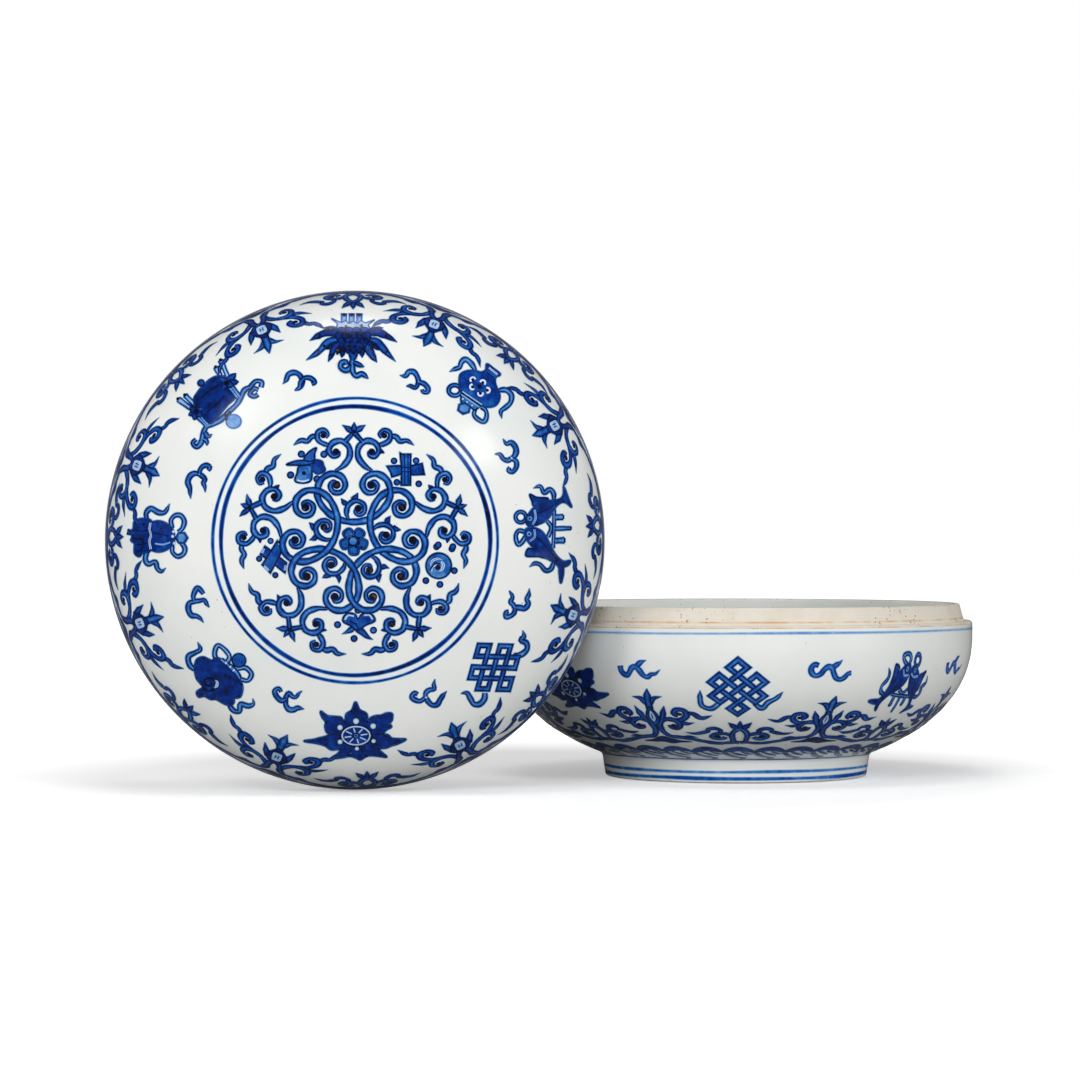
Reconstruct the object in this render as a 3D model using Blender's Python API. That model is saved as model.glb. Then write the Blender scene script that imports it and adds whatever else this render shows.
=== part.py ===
"""A round porcelain box in two fired pieces: a footed bowl with a raised flange, and its domed lid.

The lid is off, standing on its edge in front of the bowl with its hollow side turned back.
Sizes are in metres and angles in degrees. +Z is up, and the origin is under the middle of the pair.
"""

import math

import bmesh
import bpy
from mathutils import Vector

# Sizes shared by the bowl and the lid
BODY_RADIUS = 0.1200
SEGMENTS = 64
EDGE_STEPS = 2
CURVE_STEPS = 11
CAP_STEPS = 4

# Foot ring, cut from the same clay as the bowl
FOOT_RADIUS = 0.0663
FOOT_HEIGHT = 0.0117
FOOT_FLARE = 0.0019
FOOT_WALL = 0.0065
FOOT_RECESS = 0.0075
FOOT_EDGE_ROUND = 0.0012
FOOT_JOIN_ROUND = 0.0030

# Outside of the bowl: a curve that leaves the foot at a slope and ends upright
BOWL_WIDEST_HEIGHT = 0.0716
BOWL_SLOPE = 20.5
BOWL_REACH = 0.0413
BOWL_RISE = 0.0228

# Inside of the bowl
FLOOR_WALL = 0.0062

# Ledge that carries the lid's edge, and the flange that stands inside the lid
LEDGE_HEIGHT = 0.0790
LEDGE_WIDTH = 0.0042
LEDGE_ROUND = 0.0014
FLANGE_HEIGHT = 0.0086
FLANGE_LEAN = 0.0024
FLANGE_WALL = 0.0040
FLANGE_BORE_LEAN = 0.0012
FLANGE_ROUND = 0.0012

# Lid, in its own frame: the mouth at height 0 and the top at +Z
LID_WALL_HEIGHT = 0.0080
LID_SHOULDER_RADIUS = 0.0700
LID_SHOULDER_HEIGHT = 0.0600
LID_SLOPE = 16.0
LID_REACH = 0.0405
LID_RISE = 0.0245
LID_WALL = 0.0055
LID_CLEARANCE = 0.0006
LID_MOUTH_ROUND = 0.0009

# How the two pieces stand
AXES_APART = 0.1936
STANDING_GAP = 0.0003
TOUCH_STEPS = 24

# Colours
GLAZE_COLOR = (0.80, 0.82, 0.80, 1.0)
GLAZE_ROUGHNESS = 0.12

# Sizes that follow from those above
FLANGE_FOOT_RADIUS = BODY_RADIUS - LEDGE_WIDTH
FLANGE_BORE_RADIUS = FLANGE_FOOT_RADIUS - FLANGE_WALL
FLANGE_TOP = LEDGE_HEIGHT + FLANGE_HEIGHT
LID_BORE_RADIUS = FLANGE_FOOT_RADIUS + LID_CLEARANCE
WELD_DISTANCE = 0.000001


def clear_scene():
    """Removes whatever objects the open file holds."""
    for old in list(bpy.data.objects):
        bpy.data.objects.remove(old, do_unlink=True)


def point(radius, height):
    return Vector((radius, height))


def heading(degrees):
    """The direction of a slope in the profile's plane."""
    return point(math.cos(math.radians(degrees)), math.sin(math.radians(degrees)))


def curve_point(ends, share):
    """A point of the cubic curve through ends, and its direction there."""
    a, b, c, d = ends
    rest = 1 - share
    place = a * rest**3 + b * 3 * share * rest**2 + c * 3 * share**2 * rest + d * share**3
    way = (b - a) * rest**2 + (c - b) * 2 * share * rest + (d - c) * share**2
    return place, way.normalized()


def swept_curve(start, slope, reach, end, rise):
    """The four control points of a curve that leaves start at a slope and arrives upright at end."""
    return start, start + heading(slope) * reach, end - point(0, rise), end


def rounded(before, corner, after, radius):
    """Points of the arc that rounds a profile's corner."""
    to_before = (before - corner).normalized()
    to_after = (after - corner).normalized()
    half = to_before.angle(to_after) / 2
    centre = corner + (to_before + to_after).normalized() * (radius / math.sin(half))
    first = corner + to_before * (radius / math.tan(half)) - centre
    last = corner + to_after * (radius / math.tan(half)) - centre
    shares = [i / EDGE_STEPS for i in range(EDGE_STEPS + 1)]
    return [centre + first.lerp(last, share).normalized() * radius for share in shares]


def curve_shares():
    return [i / CURVE_STEPS for i in range(1, CURVE_STEPS + 1)]


def lining(ends, first_wall, last_wall):
    """The inner side of a wall whose outer side is the curve: its wall changes evenly along it."""
    points = []
    for share in [0, *curve_shares()]:
        place, way = curve_point(ends, share)
        inward = point(-way.y, way.x)
        points.append(place + inward * (first_wall + (last_wall - first_wall) * share))
    return points


def bowl_curve():
    """The bowl's outer curve, from the foot to the widest part."""
    start = point(FOOT_RADIUS + FOOT_FLARE, FOOT_HEIGHT)
    end = point(BODY_RADIUS, BOWL_WIDEST_HEIGHT)
    return swept_curve(start, BOWL_SLOPE, BOWL_REACH, end, BOWL_RISE)


def foot_profile():
    """From the middle of the underside, down and round the foot ring, to where the bowl starts."""
    inner = FOOT_RADIUS - FOOT_WALL
    middle = point(0, FOOT_RECESS)
    roof = point(inner, FOOT_RECESS)
    inner_foot = point(inner, 0)
    outer_foot = point(FOOT_RADIUS, 0)
    start, leaving = bowl_curve()[:2]
    return [
        middle,
        *rounded(middle, roof, inner_foot, FOOT_EDGE_ROUND),
        *rounded(roof, inner_foot, outer_foot, FOOT_EDGE_ROUND),
        *rounded(inner_foot, outer_foot, start, FOOT_EDGE_ROUND),
        *rounded(outer_foot, start, leaving, FOOT_JOIN_ROUND),
    ]


def flange_profile():
    """From the widest part, over the ledge and the flange, to the top of the inner wall."""
    widest = point(BODY_RADIUS, BOWL_WIDEST_HEIGHT)
    shelf = point(BODY_RADIUS, LEDGE_HEIGHT)
    nook = point(FLANGE_FOOT_RADIUS, LEDGE_HEIGHT)
    outer_lip = point(FLANGE_FOOT_RADIUS - FLANGE_LEAN, FLANGE_TOP)
    inner_lip = point(FLANGE_BORE_RADIUS - FLANGE_BORE_LEAN, FLANGE_TOP)
    bore = point(FLANGE_BORE_RADIUS, LEDGE_HEIGHT)
    return [
        *rounded(widest, shelf, nook, LEDGE_ROUND),
        nook,
        *rounded(nook, outer_lip, inner_lip, FLANGE_ROUND),
        *rounded(outer_lip, inner_lip, bore, FLANGE_ROUND),
        bore,
    ]


def floor_profile(edge, slope):
    """From the edge of the inner floor to its middle, level there."""
    middle = point(0, FOOT_RECESS + FLOOR_WALL)
    drop = max(edge.y - middle.y, 0)
    run = min(drop / math.tan(math.radians(slope)), edge.x / 2)
    bend = edge - point(run, drop)
    ends = middle, point(bend.x / 2, middle.y), bend, edge
    shares = [i / CAP_STEPS for i in range(CAP_STEPS)]
    return [curve_point(ends, share)[0] for share in reversed(shares)]


def bowl_profile():
    """The whole section of the bowl, from the middle of the underside to the middle of the floor."""
    outer = bowl_curve()
    inner = lining(outer, FLOOR_WALL, BODY_RADIUS - FLANGE_BORE_RADIUS)
    return [
        *foot_profile(),
        *[curve_point(outer, share)[0] for share in curve_shares()],
        *flange_profile(),
        *reversed(inner),
        *floor_profile(inner[0], BOWL_SLOPE),
    ]


def lid_curve():
    """The lid's outer curve, from the shoulder to its upright wall, with the heights turned over."""
    start = point(LID_SHOULDER_RADIUS, -LID_SHOULDER_HEIGHT)
    end = point(BODY_RADIUS, -LID_WALL_HEIGHT)
    return swept_curve(start, LID_SLOPE, LID_REACH, end, LID_RISE)


def lid_height():
    """The cap above the shoulder is part of a sphere that meets the curve with no break."""
    return LID_SHOULDER_HEIGHT + LID_SHOULDER_RADIUS * math.tan(math.radians(LID_SLOPE / 2))


def cap_profile(thickness):
    """From the middle of the cap to its edge, on a sphere that lies thickness under the outer one."""
    radius = LID_SHOULDER_RADIUS / math.sin(math.radians(LID_SLOPE))
    centre = lid_height() - radius
    points = []
    for i in range(CAP_STEPS + 1):
        angle = math.radians(LID_SLOPE) * i / CAP_STEPS
        reach = radius - thickness
        points.append(point(reach * math.sin(angle), centre + reach * math.cos(angle)))
    return points


def lid_profile():
    """The whole section of the lid, from the top's middle, over the mouth, to the middle inside."""
    curve = lid_curve()
    outer = [curve_point(curve, share)[0] for share in curve_shares()]
    inner = lining(curve, LID_WALL, BODY_RADIUS - LID_BORE_RADIUS)
    outer_wall = point(BODY_RADIUS, LID_WALL_HEIGHT)
    inner_wall = point(LID_BORE_RADIUS, LID_WALL_HEIGHT)
    outer_mouth = point(BODY_RADIUS, 0)
    inner_mouth = point(LID_BORE_RADIUS, 0)
    return [
        *cap_profile(0),
        *[point(p.x, -p.y) for p in outer],
        *rounded(outer_wall, outer_mouth, inner_mouth, LID_MOUTH_ROUND),
        *rounded(outer_mouth, inner_mouth, inner_wall, LID_MOUTH_ROUND),
        *[point(p.x, -p.y) for p in reversed(inner[1:])],
        *reversed(cap_profile(LID_WALL)),
    ]


def turned(name, profile, material):
    """Spins a profile round its axis into one closed body."""
    mesh = bpy.data.meshes.new(name)
    bm = bmesh.new()
    wire = [bm.verts.new((p.x, 0, p.y)) for p in profile]
    edges = [bm.edges.new(pair) for pair in zip(wire, wire[1:])]
    bmesh.ops.spin(
        bm,
        geom=wire + edges,
        cent=(0, 0, 0),
        axis=(0, 0, 1),
        angle=math.tau,
        steps=SEGMENTS,
        use_merge=True,
    )
    bmesh.ops.remove_doubles(bm, verts=bm.verts, dist=WELD_DISTANCE)
    bmesh.ops.recalc_face_normals(bm, faces=bm.faces)
    bm.to_mesh(mesh)
    bm.free()
    mesh.shade_smooth()
    mesh.set_sharp_from_angle(angle=math.radians(35))
    mesh.materials.append(material)
    obj = bpy.data.objects.new(name, mesh)
    bpy.context.scene.collection.objects.link(obj)
    return obj


def glaze(name):
    """A clear, cool white porcelain glaze."""
    material = bpy.data.materials.new(name)
    material.use_nodes = True
    shader = material.node_tree.nodes["Principled BSDF"]
    shader.inputs["Base Color"].default_value = GLAZE_COLOR
    shader.inputs["Roughness"].default_value = GLAZE_ROUGHNESS
    return material


def half_chord(height):
    """Half the width of the standing lid's edge at a height."""
    return math.sqrt(max(BODY_RADIUS**2 - (height - BODY_RADIUS) ** 2, 0))


def axis_behind_mouth():
    """How far the bowl's axis lies behind the lid's mouth, so that the bowl just clears its edge."""
    outside = [curve_point(bowl_curve(), i / TOUCH_STEPS)[0] for i in range(TOUCH_STEPS + 1)]
    outside.append(point(BODY_RADIUS, LEDGE_HEIGHT))
    needed = 0
    for place in outside:
        across = max(AXES_APART - half_chord(place.y), 0)
        reach = place.x + STANDING_GAP
        if across < reach:
            needed = max(needed, math.sqrt(reach**2 - across**2))
    return needed


def stand(name, location, rotation=(0, 0, 0)):
    """An empty that carries one piece at its place."""
    empty = bpy.data.objects.new(name, None)
    empty.location = location
    empty.rotation_euler = rotation
    bpy.context.scene.collection.objects.link(empty)
    return empty


def build():
    clear_scene()
    bowl = turned("footed_bowl", bowl_profile(), glaze("bowl_glaze"))
    lid = turned("domed_lid", lid_profile(), glaze("lid_glaze"))

    behind = axis_behind_mouth()
    mouth = (lid_height() - behind - BODY_RADIUS) / 2
    bowl.parent = stand("bowl_axis", (AXES_APART / 2, mouth + behind, 0))
    lid_place = (-AXES_APART / 2, mouth, BODY_RADIUS)
    lid.parent = stand("lid_lift_axis", lid_place, (math.radians(90), 0, 0))


build()
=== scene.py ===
"""The looks of a round porcelain box: clear glaze, bare clay edges, and painting in blue under the glaze.

Places are in metres in the part's own frame. A painted motif is drawn in millimetres on the skin of the
bowl or the lid, as thin sheets just over the glaze: a stroke has dark edges and a paler wash between them.
"""

import math
import random

import bmesh
import bpy
import numpy as np
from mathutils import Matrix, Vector
from mathutils.geometry import delaunay_2d_cdt


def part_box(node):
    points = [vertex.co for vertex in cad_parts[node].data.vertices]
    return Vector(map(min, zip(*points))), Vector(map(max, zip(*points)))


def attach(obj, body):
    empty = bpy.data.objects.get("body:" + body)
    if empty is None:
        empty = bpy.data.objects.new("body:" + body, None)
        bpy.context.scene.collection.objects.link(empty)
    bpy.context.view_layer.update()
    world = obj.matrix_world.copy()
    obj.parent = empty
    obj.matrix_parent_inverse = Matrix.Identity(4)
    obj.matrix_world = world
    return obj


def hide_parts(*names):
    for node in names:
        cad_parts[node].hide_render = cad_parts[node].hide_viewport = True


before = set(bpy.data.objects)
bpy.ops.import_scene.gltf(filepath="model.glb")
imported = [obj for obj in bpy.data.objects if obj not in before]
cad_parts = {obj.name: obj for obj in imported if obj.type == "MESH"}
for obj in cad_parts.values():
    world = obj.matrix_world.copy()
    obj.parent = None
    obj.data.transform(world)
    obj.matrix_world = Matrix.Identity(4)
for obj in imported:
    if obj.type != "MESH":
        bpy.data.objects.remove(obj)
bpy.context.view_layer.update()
MM = 0.001

# Sizes of the two turned pieces, in metres and degrees, as in the part's source
BODY_RADIUS = 0.1200
FOOT_RADIUS = 0.0663
FOOT_HEIGHT = 0.0117
FOOT_FLARE = 0.0019
FOOT_WALL = 0.0065
FOOT_RECESS = 0.0075
FOOT_EDGE_ROUND = 0.0012
FOOT_JOIN_ROUND = 0.0030
BOWL_WIDEST_HEIGHT = 0.0716
BOWL_SLOPE = 20.5
BOWL_REACH = 0.0413
BOWL_RISE = 0.0228
FLOOR_WALL = 0.0062
LEDGE_HEIGHT = 0.0790
LEDGE_WIDTH = 0.0042
LEDGE_ROUND = 0.0014
FLANGE_HEIGHT = 0.0086
FLANGE_LEAN = 0.0024
FLANGE_WALL = 0.0040
FLANGE_BORE_LEAN = 0.0012
FLANGE_ROUND = 0.0012
LID_WALL_HEIGHT = 0.0080
LID_SHOULDER_RADIUS = 0.0700
LID_SHOULDER_HEIGHT = 0.0600
LID_SLOPE = 16.0
LID_REACH = 0.0405
LID_RISE = 0.0245
LID_WALL = 0.0055
LID_CLEARANCE = 0.0006
LID_MOUTH_ROUND = 0.0009

# Fineness of the turned surfaces
ROUND_STEPS = 288
EDGE_STEPS = 6
CURVE_STEPS = 48
CAP_STEPS = 22
BARE_DEPTH = 0.0006
ON_AXIS = 1e-7

# Where glaze gives way to bare clay: steps round a corner, or shares of a straight run
FOOT_BARE_TO = 4
FOOT_GLAZED_TO = 0.72
FLANGE_BARE_TO = 3
LID_GLAZED_TO = 0.86
LID_BARE_TO = 0.6
NOOK_BURN_AT = 0.17

# Where the two pieces stand, from the frame
BOWL_LOW, BOWL_HIGH = (Vector(corner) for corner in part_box("footed_bowl"))
LID_LOW, LID_HIGH = (Vector(corner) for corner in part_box("domed_lid"))
BOWL_AXIS = Vector(((BOWL_LOW.x + BOWL_HIGH.x) / 2, (BOWL_LOW.y + BOWL_HIGH.y) / 2, BOWL_LOW.z))
LID_MOUTH = Vector(((LID_LOW.x + LID_HIGH.x) / 2, LID_HIGH.y, (LID_LOW.z + LID_HIGH.z) / 2))

# Camera, found from the outlines of the two pieces in the photograph
CAMERA_PLACE = (-0.0958, -1.8696, 0.1276)
CAMERA_PAN = 0.0490
CAMERA_TILT = 0.0042
CAMERA_LENS = 123.9
CAMERA_SENSOR = 36
CAMERA_CLIP = (0.05, 20)

# Painting, in millimetres: steps along outlines, how high the sheets lie over the glaze, and edges of strokes
STROKE_STEP = 0.8
OUTLINE_STEP = 1.0
FILL_STEP = 1.6
PAINT_LIFT = 0.04
ORDER_LIFT = 0.004
CROSSING_LIFT = 0.03
HALO_LIFT = 0.022
HALO_ORDER_LIFT = 0.0002
HALO_REACH = 0.50
HALO_INK = 0.34
HALO_FROM_INK = 0.5
PRESSURE = 1.15
THIN = 0.9
THINNEST = 0.03
WAVERS = [(0.07, 2.3), (0.05, 0.9)]
LINE_DEPTH = 0.32
LINE_SHARE = 0.58
WASH_DEPTH = 0.75
WASH_SHARE = 0.26
EDGE_INK = 0.84
BEND_ROOM = 0.8
MITRE_LEAST = 0.62
FILL_CLEAR = 0.45
FILL_SPREAD = 0.06
TINY = 1e-9
TINY_STEP = 1e-6
RING_COLUMNS = 300

# Where the motifs lie, in millimetres and degrees
ROUNDEL_MIDDLE = (-0.8, -0.2)
STRAND_ORDER = 24
TREASURE_PLACES = [(23.8, 33.1), (39.4, -12.2), (0.7, -38.2), (-38.5, -7.0), (-22.4, 35.0)]
FRONT_EMBLEM = 3
BOWL_EMBLEM_ANGLE = -5.3
BOWL_EMBLEM_REACH = 115.0
BOWL_EMBLEM_LENGTH = 60.8
BOWL_KNOT_GROW = (0.84, 0.72)
BOWL_CLOUD_TURN = -23.6
BOWL_CLOUD_LENGTH = 70.6
LID_CLOUD_GROW = (0.94, 0.94)
SCROLL_MIDDLE = 40.0
VINE_LOW = 22.6
VINE_FIXED = 14
VINE_DRAWN = 37.3
BORDER_REACH = 77.0
BORDER_BASE = -0.8
BORDER_GROW = (1.0, 1.22)
BORDER_LEAVES = 33
BORDER_ORDER = 6

# Ring lines: a place, a width, and the ink of the edges and of the wash. The places are radii round the
# roundel, lengths back from the lid's mouth, and lengths up from where the bowl leaves its foot.
ROUNDEL_RINGS = [(66.5, 1.10, 0.72, 0.80), (62.8, 1.60, 0.78, 0.85)]
RIM_RINGS = [(3.0, 1.0, 0.62, 0.60), (19.9, 1.7, 0.86, 0.90), (16.2, 2.0, 0.86, 0.90)]
BOWL_RINGS = [
    (2.3 - FOOT_HEIGHT / MM, 1.40, 0.60, 0.52),
    (5.7 - FOOT_HEIGHT / MM, 1.05, 0.48, 0.40),
    (0.9, 0.80, 0.56, 0.50),
    (88.4, 0.85, 0.26, 0.33),
]

# The pieces of the painting
LID_FAMILIES = ["ring_lines", "roundel", "emblems", "clouds", "scroll_border"]
BOWL_FAMILIES = ["ring_lines", "emblems", "clouds", "scroll_border", "petal_border"]
BOWL_SEED = 20

# Bare clay: how far its burnt edges reach, in metres, and the angle above which an edge shows sharp
FLANGE_BURN = 0.0004
FOOT_BURN = 0.0008
MOUTH_BURN = 0.0009
SHARP_ANGLE = 38

# Studio: the floor's size and drop, how much its picture is lifted, where it fades to white, and the lamps'
# names, places, aims, sizes, powers, and whether the glaze mirrors them
FLOOR_REACH = 6
FLOOR_DROP = 0.0002
FLOOR_LIFT = 0.38
FLOOR_FADE = (0.22, 0.42)
WORLD_LIGHT = 0.19
LAMPS = [
    ("key", (-0.79, -1.18, 0.86), (-0.05, 0, 0.10), (0.62, 0.62), 2.1, True),
    ("side", (0.64, -1.28, 0.68), (0, 0, 0.10), (0.45, 0.45), 1.9, True),
    ("top", (-0.10, -0.42, 1.50), (-0.05, 0, 0.05), (0.9, 0.6), 4.0, True),
    ("front", (-0.62, -2.05, 0.90), (0, 0, 0.08), (1.6, 1.2), 16.6, False),
    ("fill", (1.55, -1.20, 0.26), (0.18, 0, 0.05), (1.0, 0.5), 19.5, False),
    ("left", (-1.45, -1.25, 0.28), (-0.14, -0.1, 0.09), (1.0, 0.6), 14.5, False),
]
LAMP_FADE = (0.08, 0.50)
LAMP_HEART = 2.6


def srgb(red, green, blue):
    """A colour given as 0 to 255, in the linear values that the shaders take."""
    shares = [value / 255 for value in (red, green, blue)]
    linear = [s / 12.92 if s <= 0.04045 else ((s + 0.055) / 1.055) ** 2.4 for s in shares]
    return (*linear, 1.0)


GLAZE_WHITE = srgb(238, 239, 236)
GLAZE_SHADE = srgb(229, 233, 231)
BISCUIT_PALE = srgb(226, 220, 208)
BISCUIT_WARM = srgb(210, 195, 170)
BISCUIT_BURN = srgb(200, 138, 62)
RUST = srgb(120, 58, 34)
FLOOR_WHITE = srgb(250, 250, 250)
FLOOR_GREY = srgb(164, 164, 162)


# Profiles of the turned pieces

def point(radius, height):
    return Vector((radius, height))


def heading(degrees):
    return point(math.cos(math.radians(degrees)), math.sin(math.radians(degrees)))


def curve_point(ends, share):
    """A point of the cubic curve through ends, and its direction there."""
    a, b, c, d = ends
    rest = 1 - share
    place = a * rest**3 + b * 3 * share * rest**2 + c * 3 * share**2 * rest + d * share**3
    way = (b - a) * rest**2 + (c - b) * 2 * share * rest + (d - c) * share**2
    return place, way.normalized()


def swept_curve(start, slope, reach, end, rise):
    return start, start + heading(slope) * reach, end - point(0, rise), end


def shares(count, first=0):
    return [i / count for i in range(first, count + 1)]


def rounded(before, corner, after, radius):
    """Points of the arc that rounds a profile's corner."""
    to_before = (before - corner).normalized()
    to_after = (after - corner).normalized()
    half = to_before.angle(to_after) / 2
    centre = corner + (to_before + to_after).normalized() * (radius / math.sin(half))
    first = corner + to_before * (radius / math.tan(half)) - centre
    last = corner + to_after * (radius / math.tan(half)) - centre
    return [centre + first.lerp(last, share).normalized() * radius for share in shares(EDGE_STEPS)]


def lining(ends, first_wall, last_wall):
    """The inner side of a wall whose outer side is the curve."""
    points = []
    for share in shares(CURVE_STEPS):
        place, way = curve_point(ends, share)
        points.append(place + point(-way.y, way.x) * (first_wall + (last_wall - first_wall) * share))
    return points


def upright(points):
    """Lid points, whose heights were worked out downwards."""
    return [point(p.x, -p.y) for p in points]


FLANGE_FOOT = BODY_RADIUS - LEDGE_WIDTH
FLANGE_BORE = FLANGE_FOOT - FLANGE_WALL
FLANGE_TOP = LEDGE_HEIGHT + FLANGE_HEIGHT
LID_BORE = FLANGE_FOOT + LID_CLEARANCE
LID_HEIGHT = LID_SHOULDER_HEIGHT + LID_SHOULDER_RADIUS * math.tan(math.radians(LID_SLOPE / 2))

# Corners of the profiles, before they are rounded
FOOT_ROOF = point(FOOT_RADIUS - FOOT_WALL, FOOT_RECESS)
INNER_FOOT = point(FOOT_RADIUS - FOOT_WALL, 0)
OUTER_FOOT = point(FOOT_RADIUS, 0)
SHELF = point(BODY_RADIUS, LEDGE_HEIGHT)
NOOK = point(FLANGE_FOOT, LEDGE_HEIGHT)
OUTER_LIP = point(FLANGE_FOOT - FLANGE_LEAN, FLANGE_TOP)
INNER_LIP = point(FLANGE_BORE - FLANGE_BORE_LEAN, FLANGE_TOP)
BORE = point(FLANGE_BORE, LEDGE_HEIGHT)
OUTER_WALL = point(BODY_RADIUS, LID_WALL_HEIGHT)
OUTER_MOUTH = point(BODY_RADIUS, 0)
INNER_MOUTH = point(LID_BORE, 0)
INNER_WALL = point(LID_BORE, LID_WALL_HEIGHT)

BOWL_CURVE = swept_curve(
    point(FOOT_RADIUS + FOOT_FLARE, FOOT_HEIGHT),
    BOWL_SLOPE,
    BOWL_REACH,
    point(BODY_RADIUS, BOWL_WIDEST_HEIGHT),
    BOWL_RISE,
)
LID_CURVE = swept_curve(
    point(LID_SHOULDER_RADIUS, -LID_SHOULDER_HEIGHT),
    LID_SLOPE,
    LID_REACH,
    point(BODY_RADIUS, -LID_WALL_HEIGHT),
    LID_RISE,
)


def cap_profile(thickness):
    """The lid's cap, from its middle to the shoulder, on a sphere that lies thickness under the outer one."""
    radius = LID_SHOULDER_RADIUS / math.sin(math.radians(LID_SLOPE))
    centre = LID_HEIGHT - radius
    reach = radius - thickness
    angles = [math.radians(LID_SLOPE) * share for share in shares(CAP_STEPS)]
    return [point(reach * math.sin(a), centre + reach * math.cos(a)) for a in angles]


def bowl_outside():
    """The glazed outside of the bowl, from the foot's side to the ledge's edge."""
    start, leaving = BOWL_CURVE[:2]
    foot_round = rounded(INNER_FOOT, OUTER_FOOT, start, FOOT_EDGE_ROUND)[FOOT_BARE_TO:]
    foot_side = [OUTER_FOOT.lerp(start, share) for share in (0.16, 0.3, 0.45, 0.6)]
    join = rounded(OUTER_FOOT, start, leaving, FOOT_JOIN_ROUND)
    curve = [curve_point(BOWL_CURVE, share)[0] for share in shares(CURVE_STEPS, first=2)]
    wall = [curve[-1].lerp(SHELF, share) for share in (0.3, 0.6)]
    return [*foot_round, *foot_side, *join, *curve, *wall, rounded(curve[-1], SHELF, NOOK, LEDGE_ROUND)[0]]


def foot_bare():
    """The foot's wiped edge, from the recess side round to the outer side."""
    return [
        FOOT_ROOF.lerp(INNER_FOOT, FOOT_GLAZED_TO),
        *rounded(FOOT_ROOF, INNER_FOOT, OUTER_FOOT, FOOT_EDGE_ROUND),
        *rounded(INNER_FOOT, OUTER_FOOT, BOWL_CURVE[0], FOOT_EDGE_ROUND)[: FOOT_BARE_TO + 1],
    ]


def foot_recess():
    """The glazed underside, from its middle to the recess side of the foot."""
    middle = point(0, FOOT_RECESS)
    across = [middle.lerp(FOOT_ROOF, share) for share in (0, 0.2, 0.4, 0.6, 0.8, 0.94)]
    corner = rounded(middle, FOOT_ROOF, INNER_FOOT, FOOT_EDGE_ROUND)
    return [*across, *corner, *[FOOT_ROOF.lerp(INNER_FOOT, share) for share in (0.4, FOOT_GLAZED_TO)]]


def flange_bare():
    """The bare ledge and flange, from the ledge's rounded edge over the lip to a little way down the bore."""
    rise = (0.05, 0.09, 0.13, NOOK_BURN_AT, 0.21, 0.26, 0.4, 0.55, 0.7)
    return [
        *rounded(BOWL_CURVE[3], SHELF, NOOK, LEDGE_ROUND),
        NOOK.lerp(SHELF, 0.3),
        NOOK,
        *[NOOK.lerp(OUTER_LIP, share) for share in rise],
        *rounded(NOOK, OUTER_LIP, INNER_LIP, FLANGE_ROUND),
        *rounded(OUTER_LIP, INNER_LIP, BORE, FLANGE_ROUND)[: FLANGE_BARE_TO + 1],
    ]


def bowl_inside():
    """The glazed inside, from just under the flange's inner lip to the middle of the floor."""
    inner = lining(BOWL_CURVE, FLOOR_WALL, BODY_RADIUS - FLANGE_BORE)
    edge = inner[0]
    middle = point(0, FOOT_RECESS + FLOOR_WALL)
    drop = max(edge.y - middle.y, 0)
    run = min(drop / math.tan(math.radians(BOWL_SLOPE)), edge.x / 2)
    bend = edge - point(run, drop)
    floor = middle, point(bend.x / 2, middle.y), bend, edge
    return [
        *rounded(OUTER_LIP, INNER_LIP, BORE, FLANGE_ROUND)[FLANGE_BARE_TO:],
        INNER_LIP.lerp(BORE, 0.4),
        INNER_LIP.lerp(BORE, 0.7),
        BORE,
        *reversed(inner),
        *[curve_point(floor, share)[0] for share in reversed(shares(CAP_STEPS)[:-1])],
    ]


def lid_outside():
    """The glazed outside of the lid, from its middle to just above its mouth."""
    curve = upright(curve_point(LID_CURVE, share)[0] for share in shares(CURVE_STEPS, first=1))
    wall = [OUTER_WALL.lerp(OUTER_MOUTH, share) for share in (0.3, 0.6, LID_GLAZED_TO)]
    return [*cap_profile(0), *curve, *wall]


def lid_bare():
    """The lid's bare mouth edge, from its outer side round to its inner side."""
    return [
        OUTER_WALL.lerp(OUTER_MOUTH, LID_GLAZED_TO),
        *rounded(OUTER_WALL, OUTER_MOUTH, INNER_MOUTH, LID_MOUTH_ROUND),
        *rounded(OUTER_MOUTH, INNER_MOUTH, INNER_WALL, LID_MOUTH_ROUND),
        INNER_MOUTH.lerp(INNER_WALL, 0.3),
        INNER_MOUTH.lerp(INNER_WALL, LID_BARE_TO),
    ]


def lid_inside():
    """The glazed inside of the lid, from just above its mouth to its middle."""
    inner = upright(reversed(lining(LID_CURVE, LID_WALL, BODY_RADIUS - LID_BORE)[1:]))
    return [INNER_MOUTH.lerp(INNER_WALL, LID_BARE_TO), *inner, *reversed(cap_profile(LID_WALL))]


# Turned surfaces in the part's frame

def lid_place(reach, height, angle):
    """Arrays of radius, height and angle (0 towards +X, turning up) to places on the standing lid."""
    across = LID_MOUTH.x + reach * np.cos(angle)
    depth = LID_MOUTH.y - height
    rise = LID_MOUTH.z + reach * np.sin(angle)
    return np.stack(np.broadcast_arrays(across, depth, rise), axis=-1)


def lid_way(out, up, angle):
    return np.stack(np.broadcast_arrays(out * np.cos(angle), -up, out * np.sin(angle)), axis=-1)


def bowl_place(reach, height, angle):
    """Arrays of radius, height and angle (0 towards -Y, turning to +X) to places on the bowl."""
    across = BOWL_AXIS.x + reach * np.sin(angle)
    depth = BOWL_AXIS.y - reach * np.cos(angle)
    return np.stack(np.broadcast_arrays(across, depth, BOWL_AXIS.z + height), axis=-1)


def bowl_way(out, up, angle):
    return np.stack(np.broadcast_arrays(out * np.sin(angle), -out * np.cos(angle), up), axis=-1)


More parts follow.
